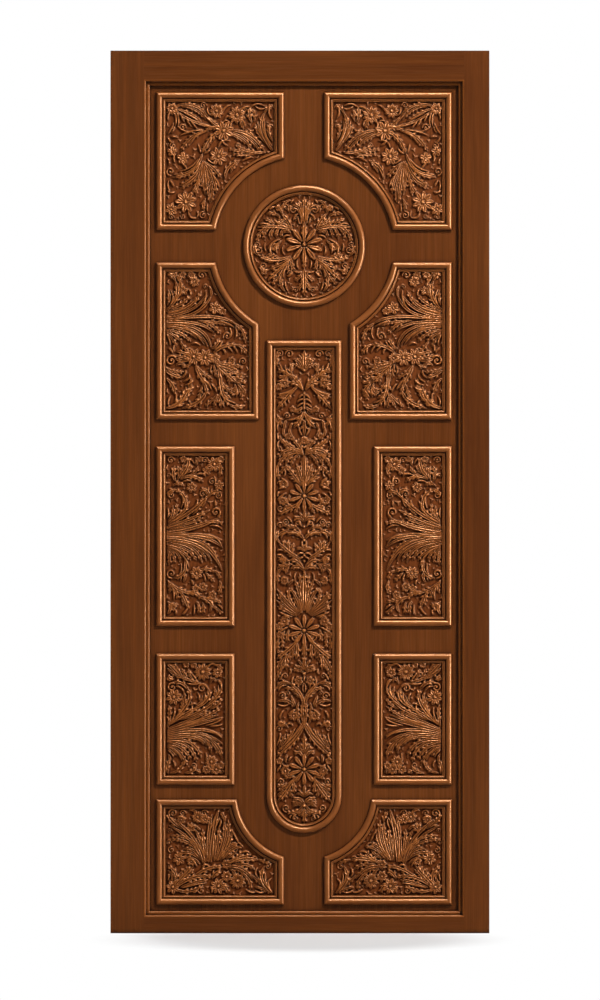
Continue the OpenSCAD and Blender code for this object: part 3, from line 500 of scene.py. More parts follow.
# %% [markdown]
# ## Drawing the carving
#
# A carver draws the design on the board first. Here each line of that drawing is a stroke: where it
# starts, which point it bends towards, where it ends, and how wide it is, in millimetres from the panel's
# lower left corner. A flower is a middle, a radius and its petals; a curl is a middle, a radius, the
# angle where it starts and the way it winds; a bead is a middle and a radius. The medallion and the
# centre panel are symmetrical, so only their right half is drawn, from the axis. The right-hand side
# panels mirror the left-hand ones.

# %% Designs of the side panels
TOP_STROKES = [
    [44,299,92,318,128,272,8], [128,272,140,256,156,248,7], [62,299,95,300,120,268,7],
    [46,294,80,286,108,263,8], [46,290,85,256,150,247,8], [66,283,92,272,104,262,5],
    [58,284,62,272,68,262,6], [74,270,78,258,86,251,6], [84,262,92,254,98,246,6],
    [112,284,130,262,146,252,5], [98,258,122,250,148,250,5], [158,246,128,250,118,240,7],
    [124,240,80,234,60,192,8], [118,238,88,230,74,202,7], [110,236,90,226,82,208,6],
    [112,242,84,242,58,229,6], [52,252,62,238,90,236,5], [42,286,52,272,46,252,6], [48,288,58,270,52,250,6],
    [34,284,26,278,29,266,6], [42,258,38,244,27,232,6], [44,250,42,240,36,236,5], [36,226,44,228,52,224,6],
    [28,224,32,216,38,212,6], [60,165,68,158,74,148,6], [30,196,38,190,36,182,6], [28,172,34,166,30,158,6],
    [44,182,40,172,46,164,6], [160,242,128,230,112,186,9], [150,200,155,222,178,216,6],
    [172,205,160,210,158,222,6], [136,232,128,224,134,214,6], [110,182,96,132,44,134,9],
    [106,166,86,128,40,128,8], [102,172,84,146,56,142,6], [107,160,96,122,58,108,9],
    [104,140,88,112,58,101,7], [110,160,106,112,82,84,8], [106,128,98,104,96,84,7],
    [112,165,112,130,112,104,8], [115,160,116,120,118,86,8], [117,164,124,116,130,66,9],
    [120,150,140,108,134,68,8], [120,160,142,130,145,90,9], [132,138,150,120,152,104,6],
    [122,162,142,150,156,127,8], [124,172,130,164,142,160,6], [112,190,118,200,126,212,7],
    [108,188,104,198,102,208,6], [116,186,126,188,130,198,6], [160,285,166,302,180,303,6],
    [205,290,215,302,228,297,6], [228,298,245,312,262,300,6], [240,300,250,288,264,296,5],
    [230,262,222,282,228,296,9], [236,264,242,282,232,292,7], [198,268,208,262,210,245,7],
    [204,270,216,262,214,250,6], [186,264,176,258,182,248,6], [166,268,172,282,188,270,5],
    [132,278,122,284,124,296,6], [280,194,240,248,262,284,10], [262,284,268,296,280,304,7],
    [280,204,258,232,262,264,6], [276,300,268,284,280,270,6], [281,216,266,238,274,256,7],
    [264,212,246,232,240,254,8], [258,226,246,244,246,262,6], [178,240,232,244,262,190,9],
    [178,236,214,228,228,200,8], [200,236,232,222,254,188,8], [180,231,204,224,222,206,7],
    [262,188,228,184,192,204,8], [230,190,206,188,176,196,7], [238,184,212,180,184,184,7],
    [234,176,222,178,212,170,6], [222,244,232,236,236,244,6], [236,226,232,236,222,238,6],
    [166,126,168,156,200,168,9], [180,140,184,156,198,164,7], [206,166,214,172,226,174,5],
    [30,118,26,104,32,96,6], [34,120,40,112,42,106,6], [27,96,34,88,44,92,6], [78,46,80,24,98,30,6],
    [98,30,104,38,98,46,5], [118,74,110,60,116,48,7], [124,62,122,52,124,44,5],
]
TOP_FLOWERS = [
    [38,294,13,7], [163,240,21,8], [150,178,19,8], [146,288,16,9], [195,278,19,10], [71,68,23,9],
    [36,50,13,6], [64,174,12,5], [38,190,10,5],
]
TOP_CURLS = [
    [63,248,9,0,1], [34,142,10,270,-1], [114,302,8,0,1], [214,292,7,90,1], [277,297,7,0,1], [197,205,6,0,1],
    [277,250,6,0,1], [113,36,9,90,1], [36,31,7,0,1], [64,33,6,180,1], [148,232,8,0,-1], [168,258,9,0,1],
    [40,204,8,90,1],
]
UPPER_STROKES = [
    [25,246,110,244,132,300,9], [132,300,136,312,128,322,7], [25,250,96,256,122,304,8],
    [25,254,90,262,108,310,8], [26,262,78,268,94,294,8], [26,268,62,274,82,300,8], [82,300,86,310,78,316,6],
    [100,262,124,284,120,312,6], [28,268,62,300,46,336,10], [46,336,40,350,28,354,8],
    [40,280,70,320,52,348,8], [34,356,50,354,56,338,7], [28,278,34,296,30,312,7], [34,280,46,296,34,314,6],
    [26,258,60,262,68,278,5], [58,322,62,332,56,338,5], [25,240,150,262,190,232,9],
    [190,232,206,222,214,206,8], [110,238,150,238,176,228,7], [150,240,170,236,188,224,6],
    [25,236,108,242,138,212,9], [100,240,136,236,155,208,8], [25,232,120,236,132,176,9],
    [25,228,104,226,124,178,8], [60,226,96,214,116,182,6], [25,224,80,222,98,196,8],
    [25,218,64,212,82,190,8], [25,214,46,204,60,190,8], [25,210,40,198,48,178,7], [25,206,34,194,34,180,6],
    [58,190,66,172,84,160,7], [86,184,96,190,106,180,6], [205,222,214,210,216,186,8],
    [192,224,198,208,190,196,6], [178,222,184,210,180,200,6], [140,162,160,184,196,180,9],
    [196,180,214,176,218,158,8], [160,172,168,168,166,160,6], [172,176,180,172,184,164,6],
    [186,178,194,172,196,162,6], [204,176,208,168,206,160,6], [134,172,148,178,152,196,8],
    [140,170,156,176,160,190,6], [84,154,60,166,50,164,8], [84,149,60,150,46,156,8],
    [82,144,56,140,46,148,8], [70,132,58,140,48,132,8], [84,136,72,126,62,130,7], [30,172,38,170,40,160,6],
    [44,180,40,172,44,164,6], [146,138,170,136,188,130,8], [150,134,176,126,198,118,8],
    [150,132,180,112,216,108,8], [172,126,192,134,208,126,7], [144,136,172,108,196,88,10],
    [168,116,178,104,176,86,7], [180,104,196,96,214,104,8], [192,94,206,88,218,92,7],
    [196,88,208,80,216,62,8], [190,86,196,70,194,56,7], [198,82,208,68,206,48,7], [148,132,156,112,150,94,8],
    [140,132,142,112,148,100,7], [134,130,128,118,136,110,6], [156,108,152,60,178,36,10],
    [178,36,196,24,214,34,8], [160,90,168,76,178,66,7], [158,72,170,56,180,52,7], [160,56,174,44,190,40,6],
    [96,130,100,108,128,78,9], [100,128,112,108,134,100,7], [110,100,120,80,124,60,8],
    [120,66,110,38,64,28,10], [112,84,106,60,100,42,7], [134,86,144,78,146,66,6], [118,96,130,84,134,72,6],
    [26,28,66,34,72,78,11], [34,28,82,46,78,84,8], [44,34,92,60,82,104,7], [26,98,44,84,44,62,9],
    [24,118,44,104,62,102,9], [24,126,40,112,66,116,7], [60,100,76,112,70,120,6], [66,92,84,100,80,110,6],
    [70,84,90,88,88,98,6], [72,72,86,72,90,80,6], [30,34,26,44,34,56,6], [46,64,52,54,44,42,6],
    [148,60,136,46,118,32,7], [150,58,144,44,138,30,7], [151,58,158,44,156,30,8], [78,46,86,40,82,32,6],
    [128,48,122,40,128,34,5], [166,52,160,40,164,30,6],
]
UPPER_FLOWERS = [
    [90,152,18,8], [118,150,18,8], [142,149,11,6], [85,349,9,6], [63,350,8,5], [92,334,11,6], [142,270,13,6],
    [182,143,8,6], [188,68,10,6], [66,312,9,5], [160,262,8,5],
]
UPPER_CURLS = [
    [110,350,10,0,1], [172,202,10,200,-1], [78,168,8,200,1], [36,143,13,40,1], [210,141,9,200,-1],
    [196,204,6,0,1], [118,322,6,0,1], [210,60,7,90,1],
]
MIDDLE_STROKES = [
    [26,226,100,232,154,264,9], [26,230,90,240,126,254,8], [26,236,80,246,112,262,8],
    [26,240,80,256,128,280,9], [30,246,92,276,126,316,10], [126,316,128,334,106,330,8],
    [88,270,108,288,112,314,7], [94,292,104,300,98,306,6], [110,288,122,300,120,318,5],
    [30,252,74,276,76,298,9], [66,272,84,312,48,330,9], [48,330,34,330,28,318,8], [60,286,72,310,58,322,6],
    [30,256,44,268,40,290,8], [38,258,56,274,48,294,7], [28,262,32,276,28,286,6],
    [120,250,142,256,160,248,8], [130,244,150,246,160,234,6], [124,312,140,334,158,322,8],
    [142,304,145,298,143,290,6], [26,222,120,226,158,208,9], [26,218,130,224,160,190,9],
    [120,222,146,220,158,196,6], [26,214,130,214,158,136,10], [80,212,136,204,148,156,8],
    [26,210,118,206,132,158,9], [60,206,112,192,120,158,7], [26,204,100,200,110,154,9],
    [26,198,82,192,96,160,8], [28,194,66,186,82,160,8], [40,190,76,168,78,142,6], [28,190,60,178,56,156,7],
    [28,186,48,172,42,154,7], [28,182,36,168,30,148,8], [70,160,76,120,42,116,9], [60,150,64,130,52,120,5],
    [30,108,60,76,108,78,8], [32,102,52,88,52,68,8], [28,110,38,92,30,80,7], [56,84,74,66,76,42,9],
    [60,88,64,64,68,50,7], [36,100,46,80,42,64,6], [70,82,100,84,108,66,8], [106,70,130,66,138,44,9],
    [116,66,146,64,158,56,7], [130,56,136,44,128,34,7], [98,58,108,46,102,30,8], [92,50,94,36,90,28,6],
    [112,56,116,44,112,30,7], [140,46,152,40,158,30,8], [148,52,158,48,160,40,6], [76,44,70,32,62,28,6],
    [28,58,36,48,52,52,7], [28,30,36,40,32,52,8], [46,40,50,34,46,28,6], [104,134,124,144,140,130,8],
    [120,128,130,118,140,108,7], [114,126,120,116,118,108,6], [140,134,154,128,154,112,7],
    [154,108,160,90,150,78,8], [66,108,70,118,72,126,7], [58,110,62,118,58,122,5], [84,112,90,106,88,100,6],
    [46,352,38,368,44,386,9], [52,356,60,372,52,386,8], [58,360,80,380,78,408,10], [62,364,64,384,70,398,7],
    [70,368,88,378,82,394,7], [60,356,88,372,112,350,9], [70,358,96,366,106,358,6],
    [80,366,100,372,100,386,7], [92,366,118,374,118,362,6], [64,350,78,356,84,350,6],
    [40,340,56,352,66,340,7], [152,396,160,380,152,362,8], [96,408,100,396,96,390,7],
    [84,404,90,398,92,392,5], [140,362,146,354,142,344,6],
]
MIDDLE_FLOWERS = [
    [97,128,14,7], [112,94,10,6], [95,91,8,5], [135,75,9,6], [38,46,9,5], [140,392,16,8], [85,336,11,6],
    [152,340,10,5], [66,404,8,5], [122,376,9,5], [156,404,8,5], [106,404,7,5],
]
MIDDLE_CURLS = [
    [144,276,12,300,1], [36,318,10,60,1], [112,320,9,0,1], [150,316,8,30,-1], [36,127,11,270,-1],
    [35,402,9,0,1], [118,402,8,0,1], [135,350,9,0,1], [30,364,6,0,1],
]
LOWER_STROKES = [
    [28,140,36,170,30,192,8], [34,150,48,170,44,186,6], [32,146,96,200,76,232,10], [76,232,66,250,42,248,9],
    [40,152,78,196,66,226,7], [66,226,60,240,46,238,6], [48,158,68,180,62,214,7], [36,148,80,180,104,186,9],
    [92,184,140,206,124,234,10], [124,234,118,246,104,240,7], [96,190,110,196,112,214,7],
    [104,190,120,200,118,222,6], [104,204,107,214,100,222,6], [60,160,96,170,84,200,6],
    [60,158,130,182,140,204,9], [140,204,148,220,140,236,7], [120,190,152,210,158,236,9],
    [158,236,158,250,146,254,7], [146,214,152,226,150,240,6], [30,136,90,160,128,178,8],
    [28,132,100,154,148,168,9], [60,146,110,152,158,188,8], [130,184,150,190,158,208,7],
    [28,128,100,146,160,162,8], [120,144,146,148,160,160,6], [130,142,150,142,160,146,6],
    [28,124,110,146,160,118,9], [28,120,110,140,160,98,9], [120,130,148,128,160,112,6],
    [28,116,110,134,134,84,9], [100,122,134,106,132,76,8], [28,112,104,126,122,94,9],
    [110,120,148,100,148,74,8], [130,110,158,94,158,64,8], [28,108,96,116,108,66,9], [28,104,88,108,96,56,9],
    [28,98,66,98,82,62,9], [28,94,60,88,74,48,8], [44,84,60,72,62,58,6], [28,90,44,82,50,70,8],
    [28,84,40,76,42,66,6], [30,72,36,62,30,54,7], [28,28,24,46,32,60,8], [40,58,48,50,44,42,6],
    [34,28,66,32,66,62,7], [70,28,92,30,96,44,8], [96,36,104,28,108,30,6], [120,76,124,70,120,62,6],
    [28,292,40,282,56,262,10], [56,262,80,252,106,246,8], [28,280,44,264,70,256,8], [32,290,54,290,50,274,7],
    [64,256,56,272,50,284,7], [76,256,66,270,62,280,7], [88,254,80,266,78,278,7], [98,252,92,262,84,272,6],
    [30,262,34,252,42,256,6], [74,246,86,242,104,244,6], [124,282,132,300,148,288,6],
    [140,290,156,290,160,276,7], [130,246,136,264,146,250,7], [150,252,161,240,158,226,6],
    [100,232,92,226,90,236,5], [80,192,92,200,98,194,5],
]
LOWER_FLOWERS = [
    [42,212,17,8], [133,55,14,8], [122,36,10,6], [144,37,12,7], [157,46,8,5], [112,273,20,11],
    [148,271,11,6], [72,290,7,5], [90,289,7,5], [32,258,6,4],
]
LOWER_CURLS = [
    [38,236,11,60,1], [111,234,11,20,1], [90,46,7,300,1], [158,30,6,0,1], [102,32,6,200,1],
]
BOTTOM_STROKES = [
    [46,48,62,64,88,92,10], [52,52,62,70,64,86,7], [56,58,72,74,76,92,7], [66,66,80,74,90,84,7],
    [44,50,56,76,30,92,9], [34,52,46,70,28,82,7], [28,58,32,66,30,74,6], [46,40,90,78,140,66,9],
    [60,42,100,58,124,60,8], [64,40,96,50,120,52,6], [48,37,76,22,112,46,8], [92,68,128,96,158,90,9],
    [116,96,108,160,44,204,10], [60,184,30,204,28,218,9], [112,104,96,160,32,190,9],
    [114,110,98,170,36,166,9], [108,120,84,160,28,158,8], [108,108,90,144,64,132,8],
    [104,110,84,134,46,122,8], [104,98,92,118,60,114,7], [98,92,92,110,76,112,6],
    [120,104,114,150,112,180,9], [120,110,106,160,94,182,8], [126,104,122,160,134,216,10],
    [132,104,134,170,150,228,11], [140,108,142,150,140,176,9], [142,110,152,156,152,182,9],
    [146,108,172,170,164,198,10], [164,198,168,214,154,224,7], [150,108,182,160,174,202,9],
    [128,176,138,196,142,214,6], [140,178,146,196,154,210,6], [150,184,158,196,156,206,6],
    [150,110,178,136,184,180,9], [156,108,186,142,210,140,8], [158,120,176,142,198,148,8],
    [156,112,166,124,162,136,8], [162,112,176,122,178,136,7], [170,112,186,118,196,132,7],
    [170,102,196,106,206,128,9], [176,104,202,112,228,120,9], [180,102,214,114,246,108,10],
    [246,108,262,106,278,98,7], [206,124,216,134,226,124,6], [178,92,214,94,232,62,9],
    [180,90,206,88,222,60,7], [186,96,222,102,238,84,8], [178,86,192,80,192,66,7], [206,76,234,60,226,34,8],
    [280,28,240,60,262,92,10], [280,32,260,50,264,76,6], [240,42,252,42,276,28,7], [230,70,246,60,264,38,7],
    [244,88,236,76,246,66,6], [278,62,264,54,276,40,6], [240,34,250,26,262,30,6], [218,36,230,26,240,30,6],
    [158,50,170,42,174,28,8], [136,64,144,80,154,80,9], [124,106,129,116,125,126,7],
    [112,92,122,102,130,90,6], [132,44,138,34,134,28,6], [88,30,96,28,98,36,6], [80,228,92,232,98,220,7],
    [52,212,60,216,72,208,6], [96,200,104,204,110,198,6], [76,196,82,188,90,188,6],
    [92,192,100,186,106,180,7], [184,178,192,166,198,150,6], [198,150,206,146,210,138,5],
    [232,116,240,118,244,112,5],
]
BOTTOM_FLOWERS = [
    [40,42,15,7], [170,97,11,7], [170,68,12,7], [197,57,18,10], [150,44,17,8], [55,110,13,6], [84,104,9,5],
    [100,212,13,7], [60,205,10,6], [84,186,10,6], [118,206,10,5],
]
BOTTOM_CURLS = [
    [40,221,10,180,-1], [64,221,8,0,1], [116,222,8,0,1], [108,33,9,60,1], [30,150,7,0,1], [36,132,8,90,1],
    [32,178,6,0,1], [270,92,8,120,-1], [148,74,6,0,1], [186,142,8,20,1],
]
side_designs = (TOP_STROKES, UPPER_STROKES, MIDDLE_STROKES, LOWER_STROKES, BOTTOM_STROKES)
print("side strokes:", [len(design) for design in side_designs])

# %% Designs of the medallion and the centre panel
MEDALLION_STROKES = [
    [0,10,0,36,0,60,9], [0,-4,0,-34,0,-54,8], [0,60,0,90,0,119,9], [4,62,6,96,13,109,8],
    [6,56,4,106,30,98,9], [30,98,40,94,36,82,7], [8,72,18,100,32,88,6], [34,110,52,110,52,86,7],
    [26,112,31,110,32,104,6], [14,78,24,76,26,62,6], [10,54,16,62,14,70,6], [30,42,40,66,54,78,9],
    [32,46,50,62,62,66,7], [34,44,58,56,76,60,8], [54,78,58,96,72,96,7], [72,96,80,94,84,88,6],
    [60,72,76,84,92,78,7], [30,40,70,52,112,46,9], [56,50,66,60,72,62,6], [72,52,84,64,97,66,7],
    [82,52,100,58,108,52,6], [44,41,56,42,56,24,7], [56,44,70,42,68,22,7], [66,46,84,42,82,18,8],
    [78,46,98,42,98,20,7], [90,46,110,36,114,12,8], [34,34,44,40,54,30,7], [36,26,46,28,52,20,6],
    [34,-26,80,-42,110,-22,9], [110,-22,126,-12,118,4,8], [62,-28,76,-20,92,-22,7],
    [70,-36,88,-36,100,-30,7], [78,-20,86,-10,80,4,6], [66,-16,72,-4,62,8,6], [56,12,66,6,74,-12,7],
    [60,16,78,12,88,-8,6], [48,-20,56,-10,50,0,6], [92,-12,98,-4,94,6,6], [32,-30,54,-44,84,-56,9],
    [36,-34,60,-56,86,-80,10], [40,-42,56,-62,64,-86,8], [44,-50,52,-66,50,-76,6],
    [86,-58,106,-62,106,-46,7], [40,-36,54,-50,72,-66,6], [30,-32,32,-46,26,-58,8], [36,-34,44,-48,38,-60,7],
    [28,-62,34,-74,42,-72,6], [16,-34,20,-44,14,-54,6], [0,-58,0,-84,0,-118,10], [4,-62,10,-80,24,-82,8],
    [2,-84,6,-98,16,-104,8], [6,-62,16,-66,24,-60,6], [48,-108,62,-92,54,-72,8], [40,-108,46,-96,46,-86,6],
    [62,-74,72,-80,76,-94,7], [66,-70,80,-74,88,-84,6],
]
MEDALLION_FLOWERS = [
    [0,4,42,10], [72,-2,9,6], [98,-62,7,5], [62,92,7,5],
]
MEDALLION_CURLS = [
    [26,88,8,60,-1], [44,94,8,0,1], [113,3,7,0,1], [109,-9,9,0,-1], [98,-48,8,0,1], [34,-66,7,0,1],
    [21,-106,7,0,1], [30,-104,5,90,1], [20,66,6,0,1],
]
CENTRE_STROKES = [
    [0,1124,0,1145,0,1168,10], [3,1126,6,1146,13,1157,7], [4,1122,10,1146,26,1147,8],
    [4,1120,10,1134,24,1134,7], [4,1076,16,1098,30,1110,9], [30,1108,38,1130,26,1136,8],
    [24,1102,48,1114,64,1130,8], [64,1130,70,1146,64,1162,8], [36,1108,46,1120,46,1132,6],
    [44,1112,56,1124,60,1138,6], [4,1074,16,1094,38,1090,9], [4,1080,14,1102,36,1102,7],
    [36,1102,50,1106,64,1104,7], [40,1094,56,1098,66,1092,6], [34,1108,52,1124,66,1116,8],
    [20,1080,34,1062,66,1054,8], [18,1080,44,1056,66,1026,10], [28,1074,44,1064,64,1062,6],
    [44,1058,50,1044,44,1034,6], [34,1060,41,1050,37,1042,5], [2,1060,8,1062,13,1052,6],
    [2,1050,10,1052,17,1042,6], [2,1040,10,1040,18,1030,6], [2,1030,12,1028,20,1016,8],
    [0,1060,0,1040,0,1022,6], [2,1018,6,1000,26,982,10], [2,1014,10,996,14,986,7],
    [4,1016,16,1000,42,1000,6], [0,998,0,984,0,962,9], [28,992,34,988,33,978,7], [66,1012,58,1000,54,984,7],
    [44,998,50,988,46,978,8], [60,996,67,988,64,974,6], [36,978,36,966,28,958,8], [50,980,52,968,46,960,8],
    [12,982,11,970,4,962,6], [62,968,66,960,62,952,6], [4,922,14,936,30,958,8], [4,920,10,940,14,954,7],
    [6,920,30,934,56,954,8], [10,920,40,930,66,966,8], [22,936,34,942,46,940,5], [3,918,30,946,66,910,9],
    [4,916,30,934,64,894,8], [28,926,58,912,66,878,8], [22,920,42,912,44,890,8], [16,914,30,908,32,890,7],
    [60,950,67,940,62,930,6], [0,914,0,890,0,848,9], [3,842,6,880,5,908,7], [4,842,8,870,18,892,8],
    [6,842,14,862,22,882,7], [8,842,20,860,46,892,9], [10,844,26,864,36,861,8], [40,888,52,884,58,868,7],
    [64,892,67,876,62,856,8], [46,880,44,870,50,862,5], [14,798,34,784,64,772,9], [10,800,18,786,24,774,7],
    [22,790,40,792,50,788,7], [36,818,38,804,44,794,7], [44,822,56,818,66,806,6], [44,836,54,838,62,832,6],
    [60,826,66,822,64,814,6], [40,846,48,858,56,858,6], [0,760,0,770,0,783,8], [2,760,6,770,12,774,7],
    [2,754,10,770,24,761,8], [6,742,12,752,14,757,6], [26,738,46,740,50,752,7], [2,712,12,730,34,732,9],
    [34,732,56,732,65,716,8], [20,724,34,730,40,720,7], [4,720,20,730,46,726,6], [42,728,56,724,56,712,6],
    [14,734,22,744,36,743,7], [30,752,34,762,42,764,6], [10,664,44,682,62,704,9], [62,704,71,720,62,730,8],
    [34,676,42,690,38,708,8], [44,684,50,696,48,708,7], [28,672,33,690,25,701,7], [2,684,8,692,19,688,7],
    [2,690,7,700,4,708,6], [2,676,8,682,18,672,6], [2,668,8,668,12,662,6], [50,684,60,688,66,684,6],
    [52,672,60,676,66,672,6], [2,640,16,664,36,660,9], [4,648,20,672,42,674,7], [2,636,12,652,34,640,8],
    [36,656,48,666,64,660,7], [36,652,56,652,66,640,7], [30,652,48,644,44,628,7], [40,650,62,640,64,624,7],
    [66,636,62,620,66,602,7], [26,612,36,606,40,598,7], [20,630,26,622,22,616,5], [44,618,54,622,56,612,6],
    [0,540,0,590,0,636,10], [4,540,6,590,11,626,8], [5,540,10,582,24,616,8], [6,536,20,582,36,592,8],
    [6,534,14,556,17,564,7], [8,534,20,560,26,576,7], [10,534,42,560,38,590,8], [12,532,40,556,66,590,8],
    [14,530,40,548,66,576,8], [16,528,40,540,66,562,8], [20,526,40,536,64,548,8], [30,524,48,528,60,536,6],
    [10,470,18,460,26,468,6], [38,490,43,478,40,464,8], [48,488,55,476,53,448,7], [62,472,67,456,62,442,7],
    [36,520,44,528,52,524,6], [40,498,52,494,58,486,6], [20,462,44,438,66,422,10], [22,462,34,446,44,441,8],
    [18,460,15,440,20,421,9], [24,456,27,440,28,423,7], [30,448,37,436,34,418,7], [42,436,58,432,66,443,7],
    [38,432,47,422,43,396,9], [44,428,55,410,56,390,8], [50,424,63,410,66,390,8], [54,400,63,390,66,370,7],
    [2,456,5,440,0,426,7], [0,396,0,412,0,428,8], [2,398,8,414,15,417,7], [3,394,10,406,24,402,7],
    [4,388,12,398,28,395,7], [0,382,0,374,0,366,6], [26,378,31,368,28,360,6], [34,398,30,390,36,384,6],
    [52,384,56,376,60,370,6], [2,312,4,342,34,361,10], [34,361,60,372,66,348,8], [4,330,20,354,46,350,8],
    [4,322,14,340,28,342,8], [44,358,60,358,62,344,6], [2,340,5,352,1,364,5], [31,330,26,316,22,308,8],
    [14,314,17,304,18,296,7], [64,318,40,328,24,306,8], [64,312,50,304,38,312,6], [12,352,18,358,14,364,5],
    [2,262,6,290,4,318,8], [0,264,18,220,66,186,10], [2,262,28,222,66,196,8], [4,268,24,232,60,202,6],
    [10,264,20,280,14,302,7], [56,206,40,224,28,246,9], [62,208,50,224,46,238,7], [30,236,26,248,22,252,6],
    [66,212,57,230,58,242,6], [40,256,54,272,66,262,7], [28,260,36,271,41,261,6], [22,298,30,296,36,288,6],
    [50,296,60,288,58,276,6], [0,194,0,214,0,238,9], [2,196,6,210,13,215,7], [3,190,10,208,21,206,7],
    [4,184,12,202,24,193,8], [42,188,47,178,43,170,7], [36,164,44,158,52,166,6], [56,164,62,156,66,148,6],
    [30,184,36,180,38,174,6], [24,132,40,104,65,75,10], [26,130,44,108,65,102,8], [26,126,27,110,23,97,8],
    [34,114,35,96,30,86,7], [40,108,45,94,44,84,7], [46,102,58,98,65,90,7], [22,134,40,142,48,130,7],
    [44,120,56,108,66,117,7], [0,92,0,104,0,115,8], [2,92,8,102,15,103,6], [2,88,8,98,20,94,7],
    [2,72,10,90,26,80,9], [4,70,12,82,28,70,8], [6,66,16,72,28,64,7], [4,66,14,46,40,50,8],
    [0,58,0,42,0,25,9], [2,56,8,44,15,43,7], [6,56,14,46,22,52,7], [18,46,28,42,26,32,6],
    [30,44,36,40,34,34,5],
]
CENTRE_FLOWERS = [
    [0,816,34,10], [0,490,36,10], [0,154,35,10], [48,1090,12,7], [50,845,10,6], [52,804,10,6], [48,512,11,7],
    [60,500,9,5], [60,480,8,5], [46,150,11,7], [60,174,8,5], [14,368,10,6], [26,284,11,6], [0,950,9,6],
    [0,690,8,6], [28,1026,7,5], [48,610,9,6], [62,1080,8,5], [40,960,7,5], [56,264,7,5], [62,1000,8,5],
    [52,662,8,5],
]
CENTRE_CURLS = [
    [36,1160,10,0,1], [58,1161,9,0,1], [26,1130,7,0,1], [14,1020,8,0,1], [42,1010,8,0,1], [16,911,6,0,1],
    [60,929,7,0,1], [58,846,7,0,1], [58,786,7,270,1], [16,752,9,30,1], [44,752,8,0,1], [58,745,8,0,1],
    [60,668,6,0,1], [20,474,10,20,-1], [46,380,7,0,1], [52,332,9,0,1], [40,338,6,0,1], [60,252,8,0,1],
    [56,124,8,0,1], [44,60,9,270,1], [22,34,7,0,1],
]
CENTRE_BEADS = [
    [0,1120,4], [0,1064,4], [0,742,4], [0,708,4], [0,672,4], [0,658,4], [0,386,5], [0,66,5], [0,934,4],
]
print("medallion and centre strokes:", len(MEDALLION_STROKES), len(CENTRE_STROKES))

# %% [markdown]
# ## Cutting the relief
#
# The carving is one height for every point of the panel, as on a milling machine, so it can be worked out
# on a grid of numbers before any mesh exists. Every stroke, petal and curl is a ridge with a round back
# that gets thinner to its tip. Where two ridges meet, the higher one wins, which leaves the sharp valley
# that a chisel leaves. A mesh of its own for each leaf would give hundreds of shapes that cut into each
# other.

# %% Relief on a grid
# Width of a vein and the distance that every point starts with, as squared shares of a ridge's radius
VEIN = 0.12
FAR_OFF = 9.0


class Relief:
    """Heights in millimetres over a panel, on a grid with the given spacing."""

    def __init__(self, left, right, low, high, spacing, twin):
        self.across = np.arange(left, right + spacing / 2, spacing)
        self.up = np.arange(low, high + spacing / 2, spacing)
        self.x, self.y = np.meshgrid(self.across, self.up)
        self.height = np.zeros_like(self.x)
        self.spacing, self.twin = spacing, twin

    def at(self, x, y):
        """Height of the grid point nearest to (x, y)."""
        i = min(max(int(round((y - self.up[0]) / self.spacing)), 0), len(self.up) - 1)
        j = min(max(int(round((x - self.across[0]) / self.spacing)), 0), len(self.across) - 1)
        return self.height[i, j]

    def ridge(self, xs, ys, radii, rise, flute=0.0):
        """A round-backed ridge along a line of points, and its twin on the other side of the axis.

        flute is how deep the vein along its back is, as a share of the ridge's height."""
        reach = max(radii)
        for way in (1, -1) if self.twin else (1,):
            line = [way * x for x in xs]
            cols = np.searchsorted(self.across, [min(line) - reach, max(line) + reach])
            rows = np.searchsorted(self.up, [min(ys) - reach, max(ys) + reach])
            part = (slice(*rows), slice(*cols))
            gx, gy = self.x[part], self.y[part]
            # Squared distance from the nearest stretch of the line, as a share of the radius there
            off, girth = np.full(gx.shape, FAR_OFF), np.ones(gx.shape)
            for k in range(len(line) - 1):
                dx, dy = line[k + 1] - line[k], ys[k + 1] - ys[k]
                t = np.clip(((gx - line[k]) * dx + (gy - ys[k]) * dy) / (dx * dx + dy * dy + 1e-9), 0, 1)
                radius = radii[k] + (radii[k + 1] - radii[k]) * t
                far = ((gx - line[k] - t * dx) ** 2 + (gy - ys[k] - t * dy) ** 2) / radius ** 2
                nearer = far < off
                off, girth = np.where(nearer, far, off), np.where(nearer, radius, girth)
            # A fluted ridge has a fuller back, and a thin ridge is lower
            fullness = 1.5 if flute else 1
            back = np.clip(1 - off ** fullness, 0, 1) * rise * np.clip(0.30 + 0.17 * girth, 0, 1.05)
            back = back * (1 - flute * np.exp(-off / VEIN))
            self.height[part] = np.maximum(self.height[part], back)

    def knob(self, x, y, radius, rise):
        """A round knob, and its twin on the other side of the axis."""
        self.ridge([x, x + 0.01], [y, y], [radius] * 2, rise)


print("a relief keeps one height per grid point, ridges are laid over each other")

# %% [markdown]
# ## Leaves
#
# Broad strokes are leaves. A carver runs a gouge along the middle of each one for its vein and notches
# its free edges into lobes. So a broad stroke gets a flute, and a leaf of middle length gets lobes, but
# only where the tip of a lobe finds bare ground.

# %% Leaves and their lobes
RISE = 7.2
# Growth of the drawn widths when they are cut
GROW = 1.05
# Ground under this height counts as bare
BARE = 0.3
# Widths of the strokes that get a vein and lobes, and lengths of those that get lobes
FLUTED_OVER, LOBED_FROM = 6, 7
SHORTEST_LOBED, LONGEST_LOBED = 24, 110


def stroke_line(stroke):
    """Points and half-widths along a stroke."""
    x0, y0, xc, yc, x1, y1, width = stroke
    t = np.linspace(0, 1, 13)
    xs = (1 - t) ** 2 * x0 + 2 * t * (1 - t) * xc + t * t * x1
    ys = (1 - t) ** 2 * y0 + 2 * t * (1 - t) * yc + t * t * y1
    return xs, ys, width * GROW / 2 * np.clip(1.15 * np.sin(np.pi * (0.10 + 0.84 * t)) ** 0.6, 0.22, 1)


